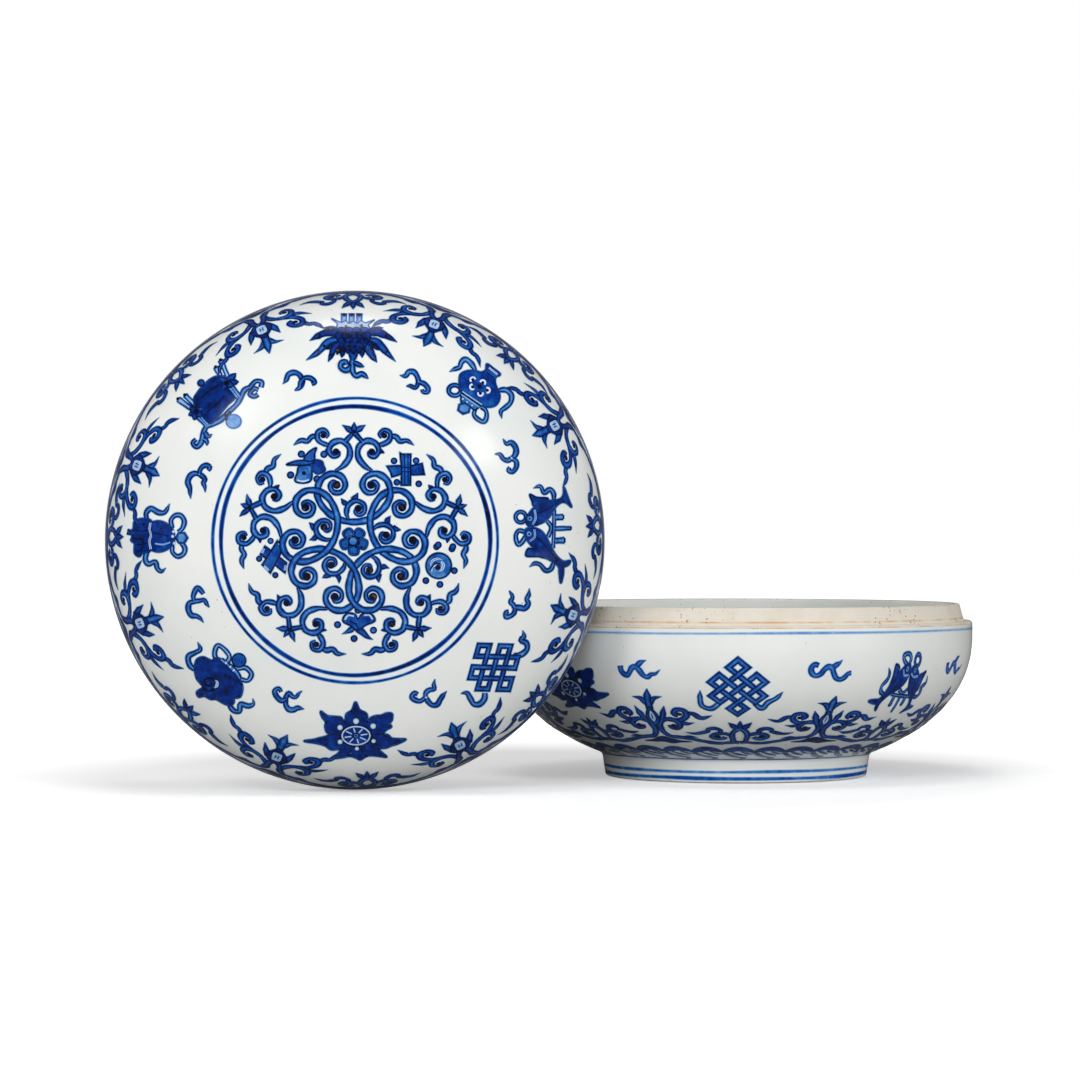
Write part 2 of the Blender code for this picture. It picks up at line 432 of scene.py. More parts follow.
def new_mesh(name, places, faces, material):
    mesh = bpy.data.meshes.new(name)
    mesh.from_pydata([tuple(p) for p in places], [], faces)
    mesh.validate()
    mesh.materials.append(material)
    obj = bpy.data.objects.new(name, mesh)
    bpy.context.scene.collection.objects.link(obj)
    return obj


def turned(name, profile, place, material, closed=False):
    """Spins a profile into a surface. A profile point on the axis becomes one vertex."""
    places = []
    rings = []
    angles = np.arange(ROUND_STEPS) * math.tau / ROUND_STEPS
    for p in profile:
        on_axis = p.x < ON_AXIS
        ring = place(np.array(p.x), np.array(p.y), angles[:1] if on_axis else angles)
        rings.append(range(len(places), len(places) + len(ring)))
        places.extend(ring)
    pairs = list(zip(rings, rings[1:]))
    if closed:
        pairs.append((rings[-1], rings[0]))
    faces = []
    for one, two in pairs:
        for i in range(ROUND_STEPS):
            j = (i + 1) % ROUND_STEPS
            corners = [one[i % len(one)], one[j % len(one)], two[j % len(two)], two[i % len(two)]]
            faces.append(tuple(dict.fromkeys(corners)))
    obj = new_mesh(name, places, faces, material)
    shell = bmesh.new()
    shell.from_mesh(obj.data)
    bmesh.ops.recalc_face_normals(shell, faces=shell.faces)
    shell.to_mesh(obj.data)
    shell.free()
    obj.data.shade_smooth()
    return obj


# Materials

class Nodes:
    """A material's node tree, built a node at a time."""

    def __init__(self, name):
        self.material = bpy.data.materials.new(name)
        self.material.use_nodes = True
        self.tree = self.material.node_tree
        self.shader = self.tree.nodes["Principled BSDF"]
        self.place = self.add("ShaderNodeTexCoord").outputs["Object"]

    def add(self, kind, **settings):
        node = self.tree.nodes.new(kind)
        for name, value in settings.items():
            setattr(node, name, value)
        return node

    def link(self, source, target):
        self.tree.links.new(source, target)

    def feed(self, target, value):
        """Links a socket, or sets a plain value."""
        if isinstance(value, bpy.types.NodeSocket):
            self.link(value, target)
        else:
            target.default_value = value

    def noise(self, size, detail=2.0, roughness=0.5, stretch=(1, 1, 1), shift=0.0):
        """Noise whose lumps are about size metres across."""
        mapping = self.add("ShaderNodeMapping")
        mapping.inputs["Scale"].default_value = stretch
        mapping.inputs["Location"].default_value = (shift, shift, shift)
        self.link(self.place, mapping.inputs["Vector"])
        node = self.add("ShaderNodeTexNoise")
        self.link(mapping.outputs["Vector"], node.inputs["Vector"])
        node.inputs["Scale"].default_value = 1 / size
        node.inputs["Detail"].default_value = detail
        node.inputs["Roughness"].default_value = roughness
        return node.outputs["Fac"]

    def math(self, operation, one, two=0.0, clamp=False):
        node = self.add("ShaderNodeMath", operation=operation, use_clamp=clamp)
        self.feed(node.inputs[0], one)
        self.feed(node.inputs[1], two)
        return node.outputs[0]

    def spread(self, value, low, high, to_low=0.0, to_high=1.0):
        node = self.add("ShaderNodeMapRange", clamp=True)
        self.feed(node.inputs["Value"], value)
        node.inputs["From Min"].default_value = low
        node.inputs["From Max"].default_value = high
        node.inputs["To Min"].default_value = to_low
        node.inputs["To Max"].default_value = to_high
        return node.outputs["Result"]

    def mix(self, share, one, two):
        node = self.add("ShaderNodeMix", data_type="RGBA")
        self.feed(node.inputs["Factor"], share)
        self.feed(node.inputs[6], one)
        self.feed(node.inputs[7], two)
        return node.outputs[2]

    def ramp(self, value, stops):
        node = self.add("ShaderNodeValToRGB")
        self.link(value, node.inputs["Fac"])
        elements = node.color_ramp.elements
        while len(elements) < len(stops):
            elements.new(0.5)
        for element, (place, colour) in zip(elements, stops):
            element.position = place
            element.color = colour
        return node.outputs["Color"]

    def bump(self, height, depth):
        """Bumps of about depth metres where height goes from 0 to 1."""
        node = self.add("ShaderNodeBump")
        node.inputs["Distance"].default_value = depth
        node.inputs["Strength"].default_value = 1.0
        self.link(height, node.inputs["Height"])
        self.link(node.outputs["Normal"], self.shader.inputs["Normal"])


def glaze_surface(nodes, colour):
    """The clear gloss that lies over clay and paint alike, with its faint unevenness."""
    waves = nodes.noise(0.020, detail=2.0)
    pits = nodes.noise(0.0022, detail=3.0, roughness=0.6)
    height = nodes.math("ADD", nodes.math("MULTIPLY", waves, 1.0), nodes.math("MULTIPLY", pits, 0.06))
    nodes.bump(height, 0.00022)
    nodes.feed(nodes.shader.inputs["Base Color"], colour)
    nodes.feed(nodes.shader.inputs["Roughness"], nodes.spread(pits, 0.3, 0.8, 0.075, 0.15))
    nodes.shader.inputs["IOR"].default_value = 1.50
    nodes.shader.inputs["Specular IOR Level"].default_value = 0.30
    return nodes.material


def glaze_colour(nodes):
    """White with a cool cast that comes and goes, and a few kiln specks."""
    cast = nodes.spread(nodes.noise(0.045, detail=3.0), 0.35, 0.70)
    white = nodes.mix(cast, GLAZE_WHITE, GLAZE_SHADE)
    speck = nodes.spread(nodes.noise(0.0011, detail=0.0, shift=3.1), 0.885, 0.90)
    return nodes.mix(speck, white, srgb(150, 128, 96))


def make_glaze():
    nodes = Nodes("clear_glaze")
    return glaze_surface(nodes, glaze_colour(nodes))


def make_cobalt():
    """Blue paint under the glaze: the ink value of each vertex runs from bare (0) to a heavy line (1)."""
    nodes = Nodes("cobalt_under_glaze")
    ink = nodes.add("ShaderNodeAttribute", attribute_name="ink").outputs["Fac"]
    grain = nodes.math("MULTIPLY", nodes.math("SUBTRACT", nodes.noise(0.0009, detail=2.0), 0.5), 0.16)
    pool = nodes.math("MULTIPLY", nodes.math("SUBTRACT", nodes.noise(0.0050, detail=2.0), 0.5), 0.44)
    painted = nodes.spread(ink, 0.10, 0.40)
    change = nodes.math("MULTIPLY", nodes.math("ADD", grain, pool), painted)
    tone = nodes.math("ADD", ink, change, clamp=True)
    stops = [
        (0.12, srgb(180, 206, 230)),
        (0.34, srgb(84, 144, 206)),
        (0.52, srgb(22, 90, 172)),
        (0.69, srgb(0, 48, 138)),
        (0.86, srgb(0, 22, 76)),
        (1.00, srgb(0, 8, 30)),
    ]
    blue = nodes.mix(nodes.spread(tone, 0.0, 0.14), glaze_colour(nodes), nodes.ramp(tone, stops))
    heap = nodes.spread(nodes.noise(0.0012, detail=2.0, shift=1.7), 0.57, 0.65)
    heavy = nodes.spread(ink, 0.84, 0.96)
    burst = nodes.spread(ink, 1.04, 1.16)
    heaped = nodes.math("MAXIMUM", nodes.math("MULTIPLY", heap, heavy), burst)
    rusty = nodes.spread(nodes.noise(0.0018, detail=0.0, shift=5.3), 0.60, 0.68)
    dark = nodes.mix(rusty, srgb(6, 12, 24), srgb(104, 74, 34))
    return glaze_surface(nodes, nodes.mix(heaped, blue, dark))


def make_biscuit():
    """Bare fired clay: cream, with turning lines, a burnt line where it meets the glaze, and rust specks."""
    nodes = Nodes("bare_biscuit")
    burn = nodes.add("ShaderNodeAttribute", attribute_name="burn").outputs["Fac"]
    lines = nodes.noise(0.0006, detail=2.0, stretch=(0.02, 0.02, 1.0))
    cloud = nodes.noise(0.014, detail=3.0, shift=2.0)
    base = nodes.mix(nodes.spread(cloud, 0.45, 0.75, 0.0, 0.5), BISCUIT_PALE, BISCUIT_WARM)
    lined = nodes.mix(nodes.spread(lines, 0.50, 0.78, 0.0, 0.30), base, BISCUIT_WARM)
    patchy = nodes.spread(nodes.noise(0.010, detail=3.0, shift=7.0), 0.38, 0.62, 0.15, 0.9)
    burnt = nodes.mix(nodes.math("MULTIPLY", burn, patchy), lined, BISCUIT_BURN)
    specks = nodes.spread(nodes.noise(0.0016, detail=2.0, shift=4.0), 0.63, 0.70)
    where = nodes.spread(nodes.noise(0.020, detail=1.0, shift=9.0), 0.50, 0.62)
    colour = nodes.mix(nodes.math("MULTIPLY", specks, where), burnt, RUST)
    fine = nodes.noise(0.0005, detail=2.0)
    nodes.bump(nodes.math("ADD", lines, nodes.math("MULTIPLY", fine, 0.6)), 0.00010)
    nodes.feed(nodes.shader.inputs["Base Color"], colour)
    nodes.feed(nodes.shader.inputs["Roughness"], nodes.spread(cloud, 0.3, 0.7, 0.62, 0.80))
    return nodes.material


def make_floor():
    """A pale sweep. The camera sees it white wherever no shadow falls, and plain white far away."""
    nodes = Nodes("plain_floor")
    shader = nodes.shader
    shader.inputs["Roughness"].default_value = 0.9
    shader.inputs["Specular IOR Level"].default_value = 0.0
    seen = nodes.add("ShaderNodeLightPath").outputs["Is Camera Ray"]
    distance = nodes.add("ShaderNodeVectorMath", operation="LENGTH")
    nodes.link(nodes.place, distance.inputs[0])
    far = nodes.spread(distance.outputs["Value"], *FLOOR_FADE)
    nodes.feed(shader.inputs["Base Color"], nodes.mix(seen, FLOOR_GREY, FLOOR_WHITE))
    shader.inputs["Emission Color"].default_value = (1, 1, 1, 1)
    lift = nodes.math("ADD", FLOOR_LIFT, nodes.math("MULTIPLY", far, 1 - FLOOR_LIFT))
    nodes.link(nodes.math("MULTIPLY", seen, lift), shader.inputs["Emission Strength"])
    return nodes.material


# Painting

def smooth_path(points, closed=False, sharp=False, step=STROKE_STEP):
    """A curve through points (x, y, lift), or straight runs between them, as an array of close points."""
    knots = np.array([(*p, 0.0)[:3] for p in points], float)
    if closed:
        knots = np.vstack([knots[-1:], knots, knots[:2]])
    else:
        knots = np.vstack([2 * knots[0] - knots[1], knots, 2 * knots[-1] - knots[-2]])
    runs = []
    for a, b, c, d in zip(knots, knots[1:], knots[2:], knots[3:]):
        count = max(2, math.ceil(np.hypot(*(c - b)[:2]) / step))
        t = np.linspace(0, 1, count, endpoint=False)[:, None]
        if sharp:
            runs.append(b + (c - b) * t)
            continue
        gaps = [max(np.hypot(*(q - p)[:2]), TINY_STEP) ** 0.5 for p, q in ((a, b), (b, c), (c, d))]
        before, here, after = gaps
        leave = here * ((b - a) / before - (c - a) / (before + here) + (c - b) / here)
        arrive = here * ((c - b) / here - (d - b) / (here + after) + (d - c) / after)
        twist = 2 * b - 2 * c + leave + arrive
        bend = -3 * b + 3 * c - 2 * leave - arrive
        runs.append(twist * t**3 + bend * t**2 + leave * t + b)
    if not closed:
        runs.append(knots[-2:-1])
    return np.vstack(runs)


def unit(ways):
    return ways / np.maximum(np.hypot(*ways.T), TINY)[:, None]


class Trail:
    """A smooth path, with what a stroke along it needs to know of its direction, bends and corners."""

    def __init__(self, points, closed, sharp):
        path = smooth_path(points, closed, sharp)
        here = path[:, :2]
        if closed:
            ahead, behind = np.roll(here, -1, axis=0), np.roll(here, 1, axis=0)
        else:
            ahead = np.vstack([here[1:], 2 * here[-1:] - here[-2:-1]])
            behind = np.vstack([2 * here[:1] - here[1:2], here[:-1]])
        first, last = unit(here - behind), unit(ahead - here)
        step = np.maximum(np.hypot(*(ahead - behind).T) / 2, TINY_STEP)
        self.closed = closed
        self.sharp = sharp
        self.x, self.y, self.lift = path.T
        self.way = unit(first + last)
        self.mitre = 1 / np.clip(np.abs((self.way * last).sum(axis=1)), MITRE_LEAST, 1)
        self.bend = first[:, 0] * last[:, 1] - first[:, 1] * last[:, 0]
        self.room = BEND_ROOM / np.maximum(np.abs(self.bend) / step, TINY_STEP)
        self.run = np.concatenate([[0], np.cumsum(np.hypot(*np.diff(here, axis=0).T))])
        self.share = self.run / max(self.run[-1], TINY_STEP)

    def beside(self, offset):
        """Places at offset to the left of the path: less far inside a bend, and farther at a sharp corner."""
        if self.sharp:
            reach = offset * self.mitre
        else:
            inside = np.sign(offset) * np.minimum(abs(offset), self.room)
            reach = np.where(offset * self.bend > 0, inside, offset)
        return self.x - self.way[:, 1] * reach, self.y + self.way[:, 0] * reach


def circle(centre, across, up=None, count=12, start=0.0):
    """Points round a circle, or an oval."""
    up = across if up is None else up
    angles = [math.radians(start) + math.tau * i / count for i in range(count)]
    return [(centre[0] + across * math.cos(a), centre[1] + up * math.sin(a)) for a in angles]


def sided(side, points):
    """Points as drawn for side 1, mirrored for side -1."""
    return [(side * p[0], *p[1:]) for p in points]


def moved(points, across=0.0, up=0.0):
    return [(p[0] + across, p[1] + up, *p[2:]) for p in points]


def grid_faces(rows, columns, closed):
    """Quads between the points of a grid. Its last column meets the first if it is closed."""
    index = np.arange(rows * columns).reshape(rows, columns)
    if closed:
        index = np.hstack([index, index[:, :1]])
    quads = np.stack([index[:-1, :-1], index[:-1, 1:], index[1:, 1:], index[1:, :-1]], axis=-1)
    return quads.reshape(-1, 4)


class Skin:
    """The painted side of a turned piece: a place on it is a length along its profile and an angle."""

    def __init__(self, profile, place, way):
        self.reach = np.array([p.x for p in profile])
        self.height = np.array([p.y for p in profile])
        runs = np.hypot(np.diff(self.reach), np.diff(self.height))
        self.length = np.concatenate([[0], np.cumsum(runs)]) / MM
        along = np.gradient(self.reach), np.gradient(self.height)
        size = np.hypot(*along)
        self.out = -along[1] / size
        self.up = along[0] / size
        self.place = place
        self.way = way
        if self.out[-1] < 0:
            self.out = -self.out
            self.up = -self.up

    def start_at_foot(self):
        """Counts lengths from where the bowl's wall leaves the foot."""
        start = BOWL_CURVE[0]
        near = np.argmin(np.hypot(self.reach - start.x, self.height - start.y))
        self.length = self.length - self.length[near]

    def length_at(self, reach):
        """The length along the profile at a radius in millimetres, where the radius still grows."""
        return np.interp(reach, np.maximum.accumulate(self.reach) / MM, self.length)

    def spot(self, length, angle, lift):
        """Places and outward ways at lengths in millimetres, lift millimetres over the glaze."""
        reach = np.interp(length, self.length, self.reach)
        height = np.interp(length, self.length, self.height)
        out = np.interp(length, self.length, self.out)
        up = np.interp(length, self.length, self.up)
        size = np.hypot(out, up)
        rise = lift * MM / size
        place = self.place(reach + out * rise, height + up * rise, angle)
        return place, self.way(out / size, up / size, angle)


def front_chart(skin, centre, turn=0.0, size=(1.0, 1.0)):
    """A drawing laid on the lid as it shows from straight in front, turned by degrees about its centre."""
    cos, sin = math.cos(math.radians(turn)), math.sin(math.radians(turn))

    def chart(x, y):
        x, y = x * size[0], y * size[1]
        across = centre[0] + x * cos - y * sin
        up = centre[1] + x * sin + y * cos
        return skin.length_at(np.hypot(across, up)), np.arctan2(up, across)

    return chart


def band_chart(angle, reach, base, size=(1.0, 1.0), turn=0.0):
    """A drawing laid round the piece: x along the band, y from length base, in true size at radius reach."""
    cos, sin = math.cos(math.radians(turn)), math.sin(math.radians(turn))

    def chart(x, y):
        along = x * cos - y * sin
        up = x * sin + y * cos
        return base + up * size[1], math.radians(angle) + along * size[0] / reach

    return chart


class Painting:
    """Sheets of paint on one skin, gathered into one piece."""

    def __init__(self, name, skin, seed):
        self.name = name
        self.skin = skin
        self.random = random.Random(seed)
        self.places = []
        self.ways = []
        self.inks = []
        self.faces = []
        self.count = 0
        self.lay(None)

    def lay(self, chart, order=0):
        """Sets the drawing's place for the marks that follow, and how many sheets they lie over."""
        self.chart = chart
        self.order = order

    def add(self, x, y, ink, faces, lift=0.0, under=False):
        """Adds a sheet. It lies over those before it, or under them all."""
        length, angle = self.chart(x, y)
        over = PAINT_LIFT + self.order * ORDER_LIFT + lift * CROSSING_LIFT
        if under:
            over = HALO_LIFT + self.order * HALO_ORDER_LIFT
        places, ways = self.skin.spot(length, angle, over)
        self.places.append(places.reshape(-1, 3))
        self.ways.append(ways.reshape(-1, 3))
        self.inks.append(np.broadcast_to(ink, x.shape).reshape(-1))
        self.faces.append(np.asarray(faces) + self.count)
        self.count += x.size
        self.order += 1

    def stroke(self, points, width, taper=(1,), line=1.0, wash=0.5, closed=False, sharp=False):
        """A brush stroke: dark lines along both edges and a wash between, taper its width along the way."""
        trail = Trail(points, closed, sharp)
        half = self.half_width(trail, width, taper)
        if line > HALO_FROM_INK:
            halo = HALO_INK * line
            self.strip(trail, [half + HALO_REACH, half, half * 0], [0, halo, halo], under=True)
        if width < THIN:
            self.strip(trail, [half, half * 0], [line * EDGE_INK, line])
            return
        line_end = np.maximum(half - LINE_DEPTH, half * LINE_SHARE)
        wash_start = np.maximum(half - WASH_DEPTH, half * WASH_SHARE)
        inks = [line * EDGE_INK, line, (line + 2 * wash) / 3, wash]
        self.strip(trail, [half, line_end, wash_start, half * 0], inks)

    def half_width(self, trail, width, taper):
        """Half the stroke's width all along, which wavers a little on an open path."""
        phase = self.random.uniform(0, math.tau)
        drawn = width * PRESSURE if width > 1 else width
        half = drawn / 2 * np.interp(trail.share, np.linspace(0, 1, len(taper)), taper)
        if not trail.closed:
            (slow, slow_run), (quick, quick_run) = WAVERS
            slow_waver = slow * np.sin(trail.run / slow_run + phase)
            half = half * (1 + slow_waver + quick * np.sin(trail.run / quick_run + 2 * phase))
        return np.maximum(half, THINNEST)

    def strip(self, trail, cuts, inks, under=False):
        """A sheet along a trail: rows at distances cuts on both sides, each with its ink."""
        offsets = [*[-c for c in cuts], *reversed(cuts[:-1])]
        levels = np.array([*inks, *reversed(inks[:-1])], float)[:, None]
        x, y = (np.array(rows) for rows in zip(*map(trail.beside, offsets)))
        self.add(x, y, levels, grid_faces(*x.shape, trail.closed), trail.lift, under)

    def fill(self, outline, wash=0.72, line=1.0, pen=0.55, sharp=False):
        """A filled shape with a drawn outline."""
        rim = smooth_path(outline, True, sharp, step=OUTLINE_STEP)[:, :2]
        low, high = rim.min(axis=0), rim.max(axis=0)
        across = np.arange(low[0] + FILL_STEP / 2, high[0], FILL_STEP)
        up = np.arange(low[1] + FILL_STEP / 2, high[1], FILL_STEP)
        inner = [(a, b) for a in across for b in up if self.holds(rim, a, b)]
        places = [Vector(p) for p in [*map(tuple, rim), *inner]]
        edges = [(i, (i + 1) % len(rim)) for i in range(len(rim))]
        found = delaunay_2d_cdt(places, edges, [], 1, 1e-5)
        flat = np.array([tuple(p) for p in found[0]])
        faces = [(*f, f[-1]) if len(f) == 3 else tuple(f) for f in found[2]]
        ink = np.array([wash + self.random.uniform(-FILL_SPREAD, FILL_SPREAD) for _ in flat])
        self.add(flat[:, 0], flat[:, 1], ink, faces)
        if pen:
            self.stroke(outline, pen, line=line, closed=True, sharp=sharp)

    @staticmethod
    def holds(rim, x, y):
        """Whether a point lies inside the outline, clear of its edge."""
        if np.hypot(rim[:, 0] - x, rim[:, 1] - y).min() < FILL_STEP * FILL_CLEAR:
            return False
        nxt = np.roll(rim, -1, axis=0)
        spans = (rim[:, 1] > y) != (nxt[:, 1] > y)
        rise = np.where(spans, nxt[:, 1] - rim[:, 1], 1)
        cross = rim[:, 0] + (y - rim[:, 1]) / rise * (nxt[:, 0] - rim[:, 0])
        return bool(np.count_nonzero(spans & (cross > x)) % 2)

    def dot(self, centre, radius, heart=0.9, rim=1.0):
        """A round dab of paint."""
        rings = [0.0, 0.45, 0.8, 1.0]
        inks = [heart, heart, rim, rim * 0.7]
        count = 14
        angles = np.arange(count) * math.tau / count
        x = np.array([centre[0] + radius * r * np.cos(angles) for r in rings])
        y = np.array([centre[1] + radius * r * np.sin(angles) for r in rings])
        self.add(x, y, np.array(inks)[:, None], grid_faces(len(rings), count, True))

    def dots(self, places, radius, heart=0.9, rim=1.0):
        for place in places:
            self.dot(place, radius, heart, rim)

    def make(self, material, body):
        """Builds the piece. Its faces look outward and its shading follows the glaze under it."""
        places = np.vstack(self.places)
        ways = np.vstack(self.ways)
        faces = np.vstack(self.faces)
        a, b, c = (places[faces[:, i]] for i in (0, 1, 2))
        d = places[faces[:, 3]]
        flat = np.cross(c - a, d - b)
        wrong = (flat * ways[faces[:, 0]]).sum(axis=1) < 0
        faces[wrong] = faces[wrong][:, ::-1]
        large = np.linalg.norm(flat, axis=1) > 1e-12
        corners = [tuple(dict.fromkeys(int(v) for v in face)) for face in faces[large]]
        mesh = bpy.data.meshes.new(self.name)
        mesh.from_pydata(places.tolist(), [], [f for f in corners if len(f) > 2])
        ink = mesh.attributes.new("ink", "FLOAT", "POINT")
        ink.data.foreach_set("value", np.concatenate(self.inks).astype(np.float32))
        mesh.materials.append(material)
        mesh.shade_smooth()
        mesh.normals_split_custom_set_from_vertices(ways.tolist())
        obj = bpy.data.objects.new(self.name, mesh)
        bpy.context.scene.collection.objects.link(obj)
        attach(obj, body)


def ring_line(painting, length, width, line, wash):
    """A line round the whole piece, softened along both edges."""
    angles = np.linspace(0, math.tau, RING_COLUMNS, endpoint=False)
    drift = 0.12 * np.sin(angles * 3 + length) + 0.06 * np.sin(angles * 7 + 2 * length)
    press = 1 + 0.14 * np.sin(angles * 5 + length) + 0.08 * np.sin(angles * 11)
    reach = np.array([-0.5, -0.22, 0.0, 0.22, 0.5])[:, None] * width * press
    soft = np.full((1, RING_COLUMNS), HALO_REACH)
    offsets = np.vstack([reach[:1] - soft, reach, reach[-1:] + soft])
    inks = np.array([0.0, line * 0.7, line, wash, line, line * 0.7, 0.0])
    levels = inks[:, None] * (1 + 0.10 * np.sin(angles * 4 + length) + 0.06 * np.sin(angles * 9))
    around = np.broadcast_to(angles, offsets.shape)
    faces = grid_faces(len(offsets), RING_COLUMNS, True)
    painting.lay(band_chart(0, 1.0, length), painting.order)
    painting.add(around, offsets + drift, levels, faces)


# The lid's roundel: five interlaced strands, each ending in two curls, with a scrolled head beyond each

def paint_strand(painting):
    """One strand of the knot: an arc that runs under and over its neighbours, with a curl at each end."""
    right = [(7.0, 10.2, 0), (11.8, 13.2, 0.5), (15.8, 18.0, 0.5), (17.0, 23.2, 1), (15.2, 28.6, 0)]
    left = [(-7.0, 10.2, 1), (-11.8, 13.2, 0.5), (-15.8, 18.0, 0.5), (-17.0, 23.2, 0), (-15.2, 28.6, 0)]
    right_curl = [
        (10.4, 31.4), (5.6, 29.9), (4.0, 26.0), (6.0, 22.8), (9.6, 22.9), (11.0, 25.9), (9.4, 27.8),
        (7.9, 26.8),
    ]
    path = [*reversed(sided(-1, right_curl)), *reversed(left), (0.0, 8.9, 0.5), *right, *right_curl]
    painting.stroke(path, 2.75, taper=(0.62, 0.9, 1, 1, 1, 1, 1, 0.9, 0.62), wash=0.42)
    for side in (-1, 1):
        painting.dot((side * 8.0, 26.2), 2.0, heart=1.08, rim=0.9)


def paint_inner_curl(painting):
    """The leafed curl inside each strand."""
    painting.stroke([(-0.6, 19.0), (0.8, 20.4), (1.9, 22.6)], 2.2, taper=(1, 1, 0), wash=0.6)
    painting.stroke([(-2.2, 17.2), (-4.2, 17.7), (-6.0, 20.0)], 2.2, taper=(1, 1, 0), wash=0.6)
    hook = [
        (-2.2, 9.8), (-3.4, 12.6), (-2.6, 16.6), (0.8, 18.8), (4.4, 17.2), (4.9, 13.8), (2.6, 12.2),
        (0.6, 13.4), (1.2, 15.2),
    ]
    painting.stroke(hook, 2.2, taper=(0.5, 1, 1, 1, 1, 0.8, 0.6), wash=0.45)
    painting.dot((2.0, 15.2), 1.8, heart=1.08, rim=0.9)


def paint_head(painting, side):
    """One half of a scrolled head: the big curl, the tie to its tip, a small curl and a flame-like tail."""
    big = [
        (8.6, 32.6), (4.6, 35.4), (1.9, 39.6), (2.4, 44.0), (5.8, 46.7), (10.0, 45.6), (11.6, 42.2),
        (9.6, 39.4), (7.4, 40.2), (7.6, 41.8),
    ]
    tail = [(16.6, 49.0), (19.6, 48.6), (21.6, 46.6), (24.6, 46.9), (28.2, 44.6)]
    small = [(10.4, 44.6), (13.6, 45.2), (16.6, 47.2), (16.8, 50.6), (14.0, 51.8), (12.0, 49.8), (13.2, 48.2)]
    painting.stroke(sided(side, [(10.6, 42.6), (12.6, 41.8), (14.4, 41.0)]), 2.2, taper=(1, 1, 0), wash=0.7)
    painting.stroke(sided(side, tail), 2.4, taper=(0.8, 1, 0.9, 0.8, 0), wash=0.4)
    painting.stroke(sided(side, small), 2.2, taper=(0.7, 1, 1, 1, 0.8, 0.6), wash=0.4)
    painting.dot((side * 14.2, 49.2), 1.4, heart=1.05, rim=0.9)
    painting.stroke(sided(side, big), 2.5, taper=(0.5, 1, 1, 1, 1, 0.9, 0.8), wash=0.40)
    painting.dot((side * 8.3, 41.6), 1.7, heart=1.05, rim=0.9)


def paint_tip(painting):
    """The three-leaved tip that ties the two halves of a head."""
    for tip in ((-5.6, 54.2), (5.6, 54.2), (0.2, 55.6)):
        middle = (tip[0] * 0.5, (50.2 + tip[1]) / 2 + 0.3)
        painting.stroke([(0, 50.2), middle, tip], 2.6, taper=(0.6, 1, 0), wash=0.5)
    painting.stroke([(-4.2, 46.2), (0.6, 51.4)], 2.1, wash=0.5)
    painting.stroke([(4.2, 46.2), (-0.4, 51.2)], 2.1, wash=0.5)
    painting.dot((0.1, 50.9), 0.9, heart=1.0)


def paint_flower(painting):
    """The small flower in the middle."""
    for k in range(5):
        turn = math.radians(54 + 72 * k)
        centre = (4.1 * math.cos(turn), 4.1 * math.sin(turn))
        painting.fill(circle(centre, 2.5, count=4, start=9 + 72 * k), wash=0.54, pen=1.1)
    painting.fill(circle((-0.3, 0.0), 2.1, count=6), wash=0.44, pen=0.8)
    specks = [
        (2.2, -1.0), (1.0, -2.6), (-1.4, 2.2), (2.4, 1.4), (-2.2, -1.8), (3.6, -2.8),
    ]
    painting.dots(specks, 0.7, heart=1.2)


def paint_pearls(painting, places, size=1.65):
    """Small round pearls, dark round a paler heart."""
    painting.dots(places, size, heart=0.56)


def paint_clappers(painting):
    """Two crossed bars with four pearls."""
    across = [
        (-9.2, 1.6), (-2.4, 1.9), (2.4, 1.9), (7.2, 2.9), (8.2, -2.2), (2.9, -2.4), (-2.9, -2.2),
        (-6.9, -3.4), (-7.4, -1.4),
    ]
    painting.fill(across, wash=0.64, pen=0.8, sharp=True)
    painting.fill(
        [(-3.1, 7.9), (-2.2, 7.2), (1.9, 7.2), (1.7, -7.2), (-2.6, -7.2), (-2.3, 0.6)], wash=0.56, pen=0.8,
        sharp=True,
    )
    for side in (-1.0, 0.6):
        painting.stroke([(side, 6.6), (side + 0.1, -6.6)], 0.6, line=0.85)
    for up in (1.0, -1.0):
        painting.stroke([(-2.0, up), (1.5, up)], 0.6, line=0.9)
    paint_pearls(painting, [(-5.9, 4.1), (4.4, 4.2), (-4.6, -5.9), (5.6, -6.6)])


def paint_coin(painting):
    """A round pearl with a swirl, and five drops."""
    painting.fill(circle((-0.7, 0.5), 5.9), wash=0.46, pen=0.8)
    painting.stroke(
        [(-4.6, 0.2), (-3.6, 2.8), (-0.8, 3.8), (1.0, 3.2)], 1.0, taper=(0.2, 1, 1, 0.3), line=0.06,
    )
    painting.stroke(
        [(0.4, 2.6), (1.5, 1.0), (0.8, -1.2), (-0.4, -2.0)], 1.3, taper=(0.4, 1, 1, 0.3), line=0.06,
    )
    painting.stroke([(-3.9, -2.6), (-3.6, -0.2), (-1.6, 0.9)], 0.8, taper=(0.3, 1, 0.5), line=0.1)
    painting.dot((-1.1, -0.3), 1.3, heart=1.1)
    painting.stroke([(-4.8, -1.4), (-2.0, 1.8), (0.0, 1.2)], 0.7, line=0.95)
    paint_pearls(
        painting,
        [(-1.7, 9.4), (-0.9, 10.2), (5.5, 8.4), (5.9, 9.4), (6.6, -1.8), (-6.7, -6.4), (-0.1, -8.2)], 1.7,
    )


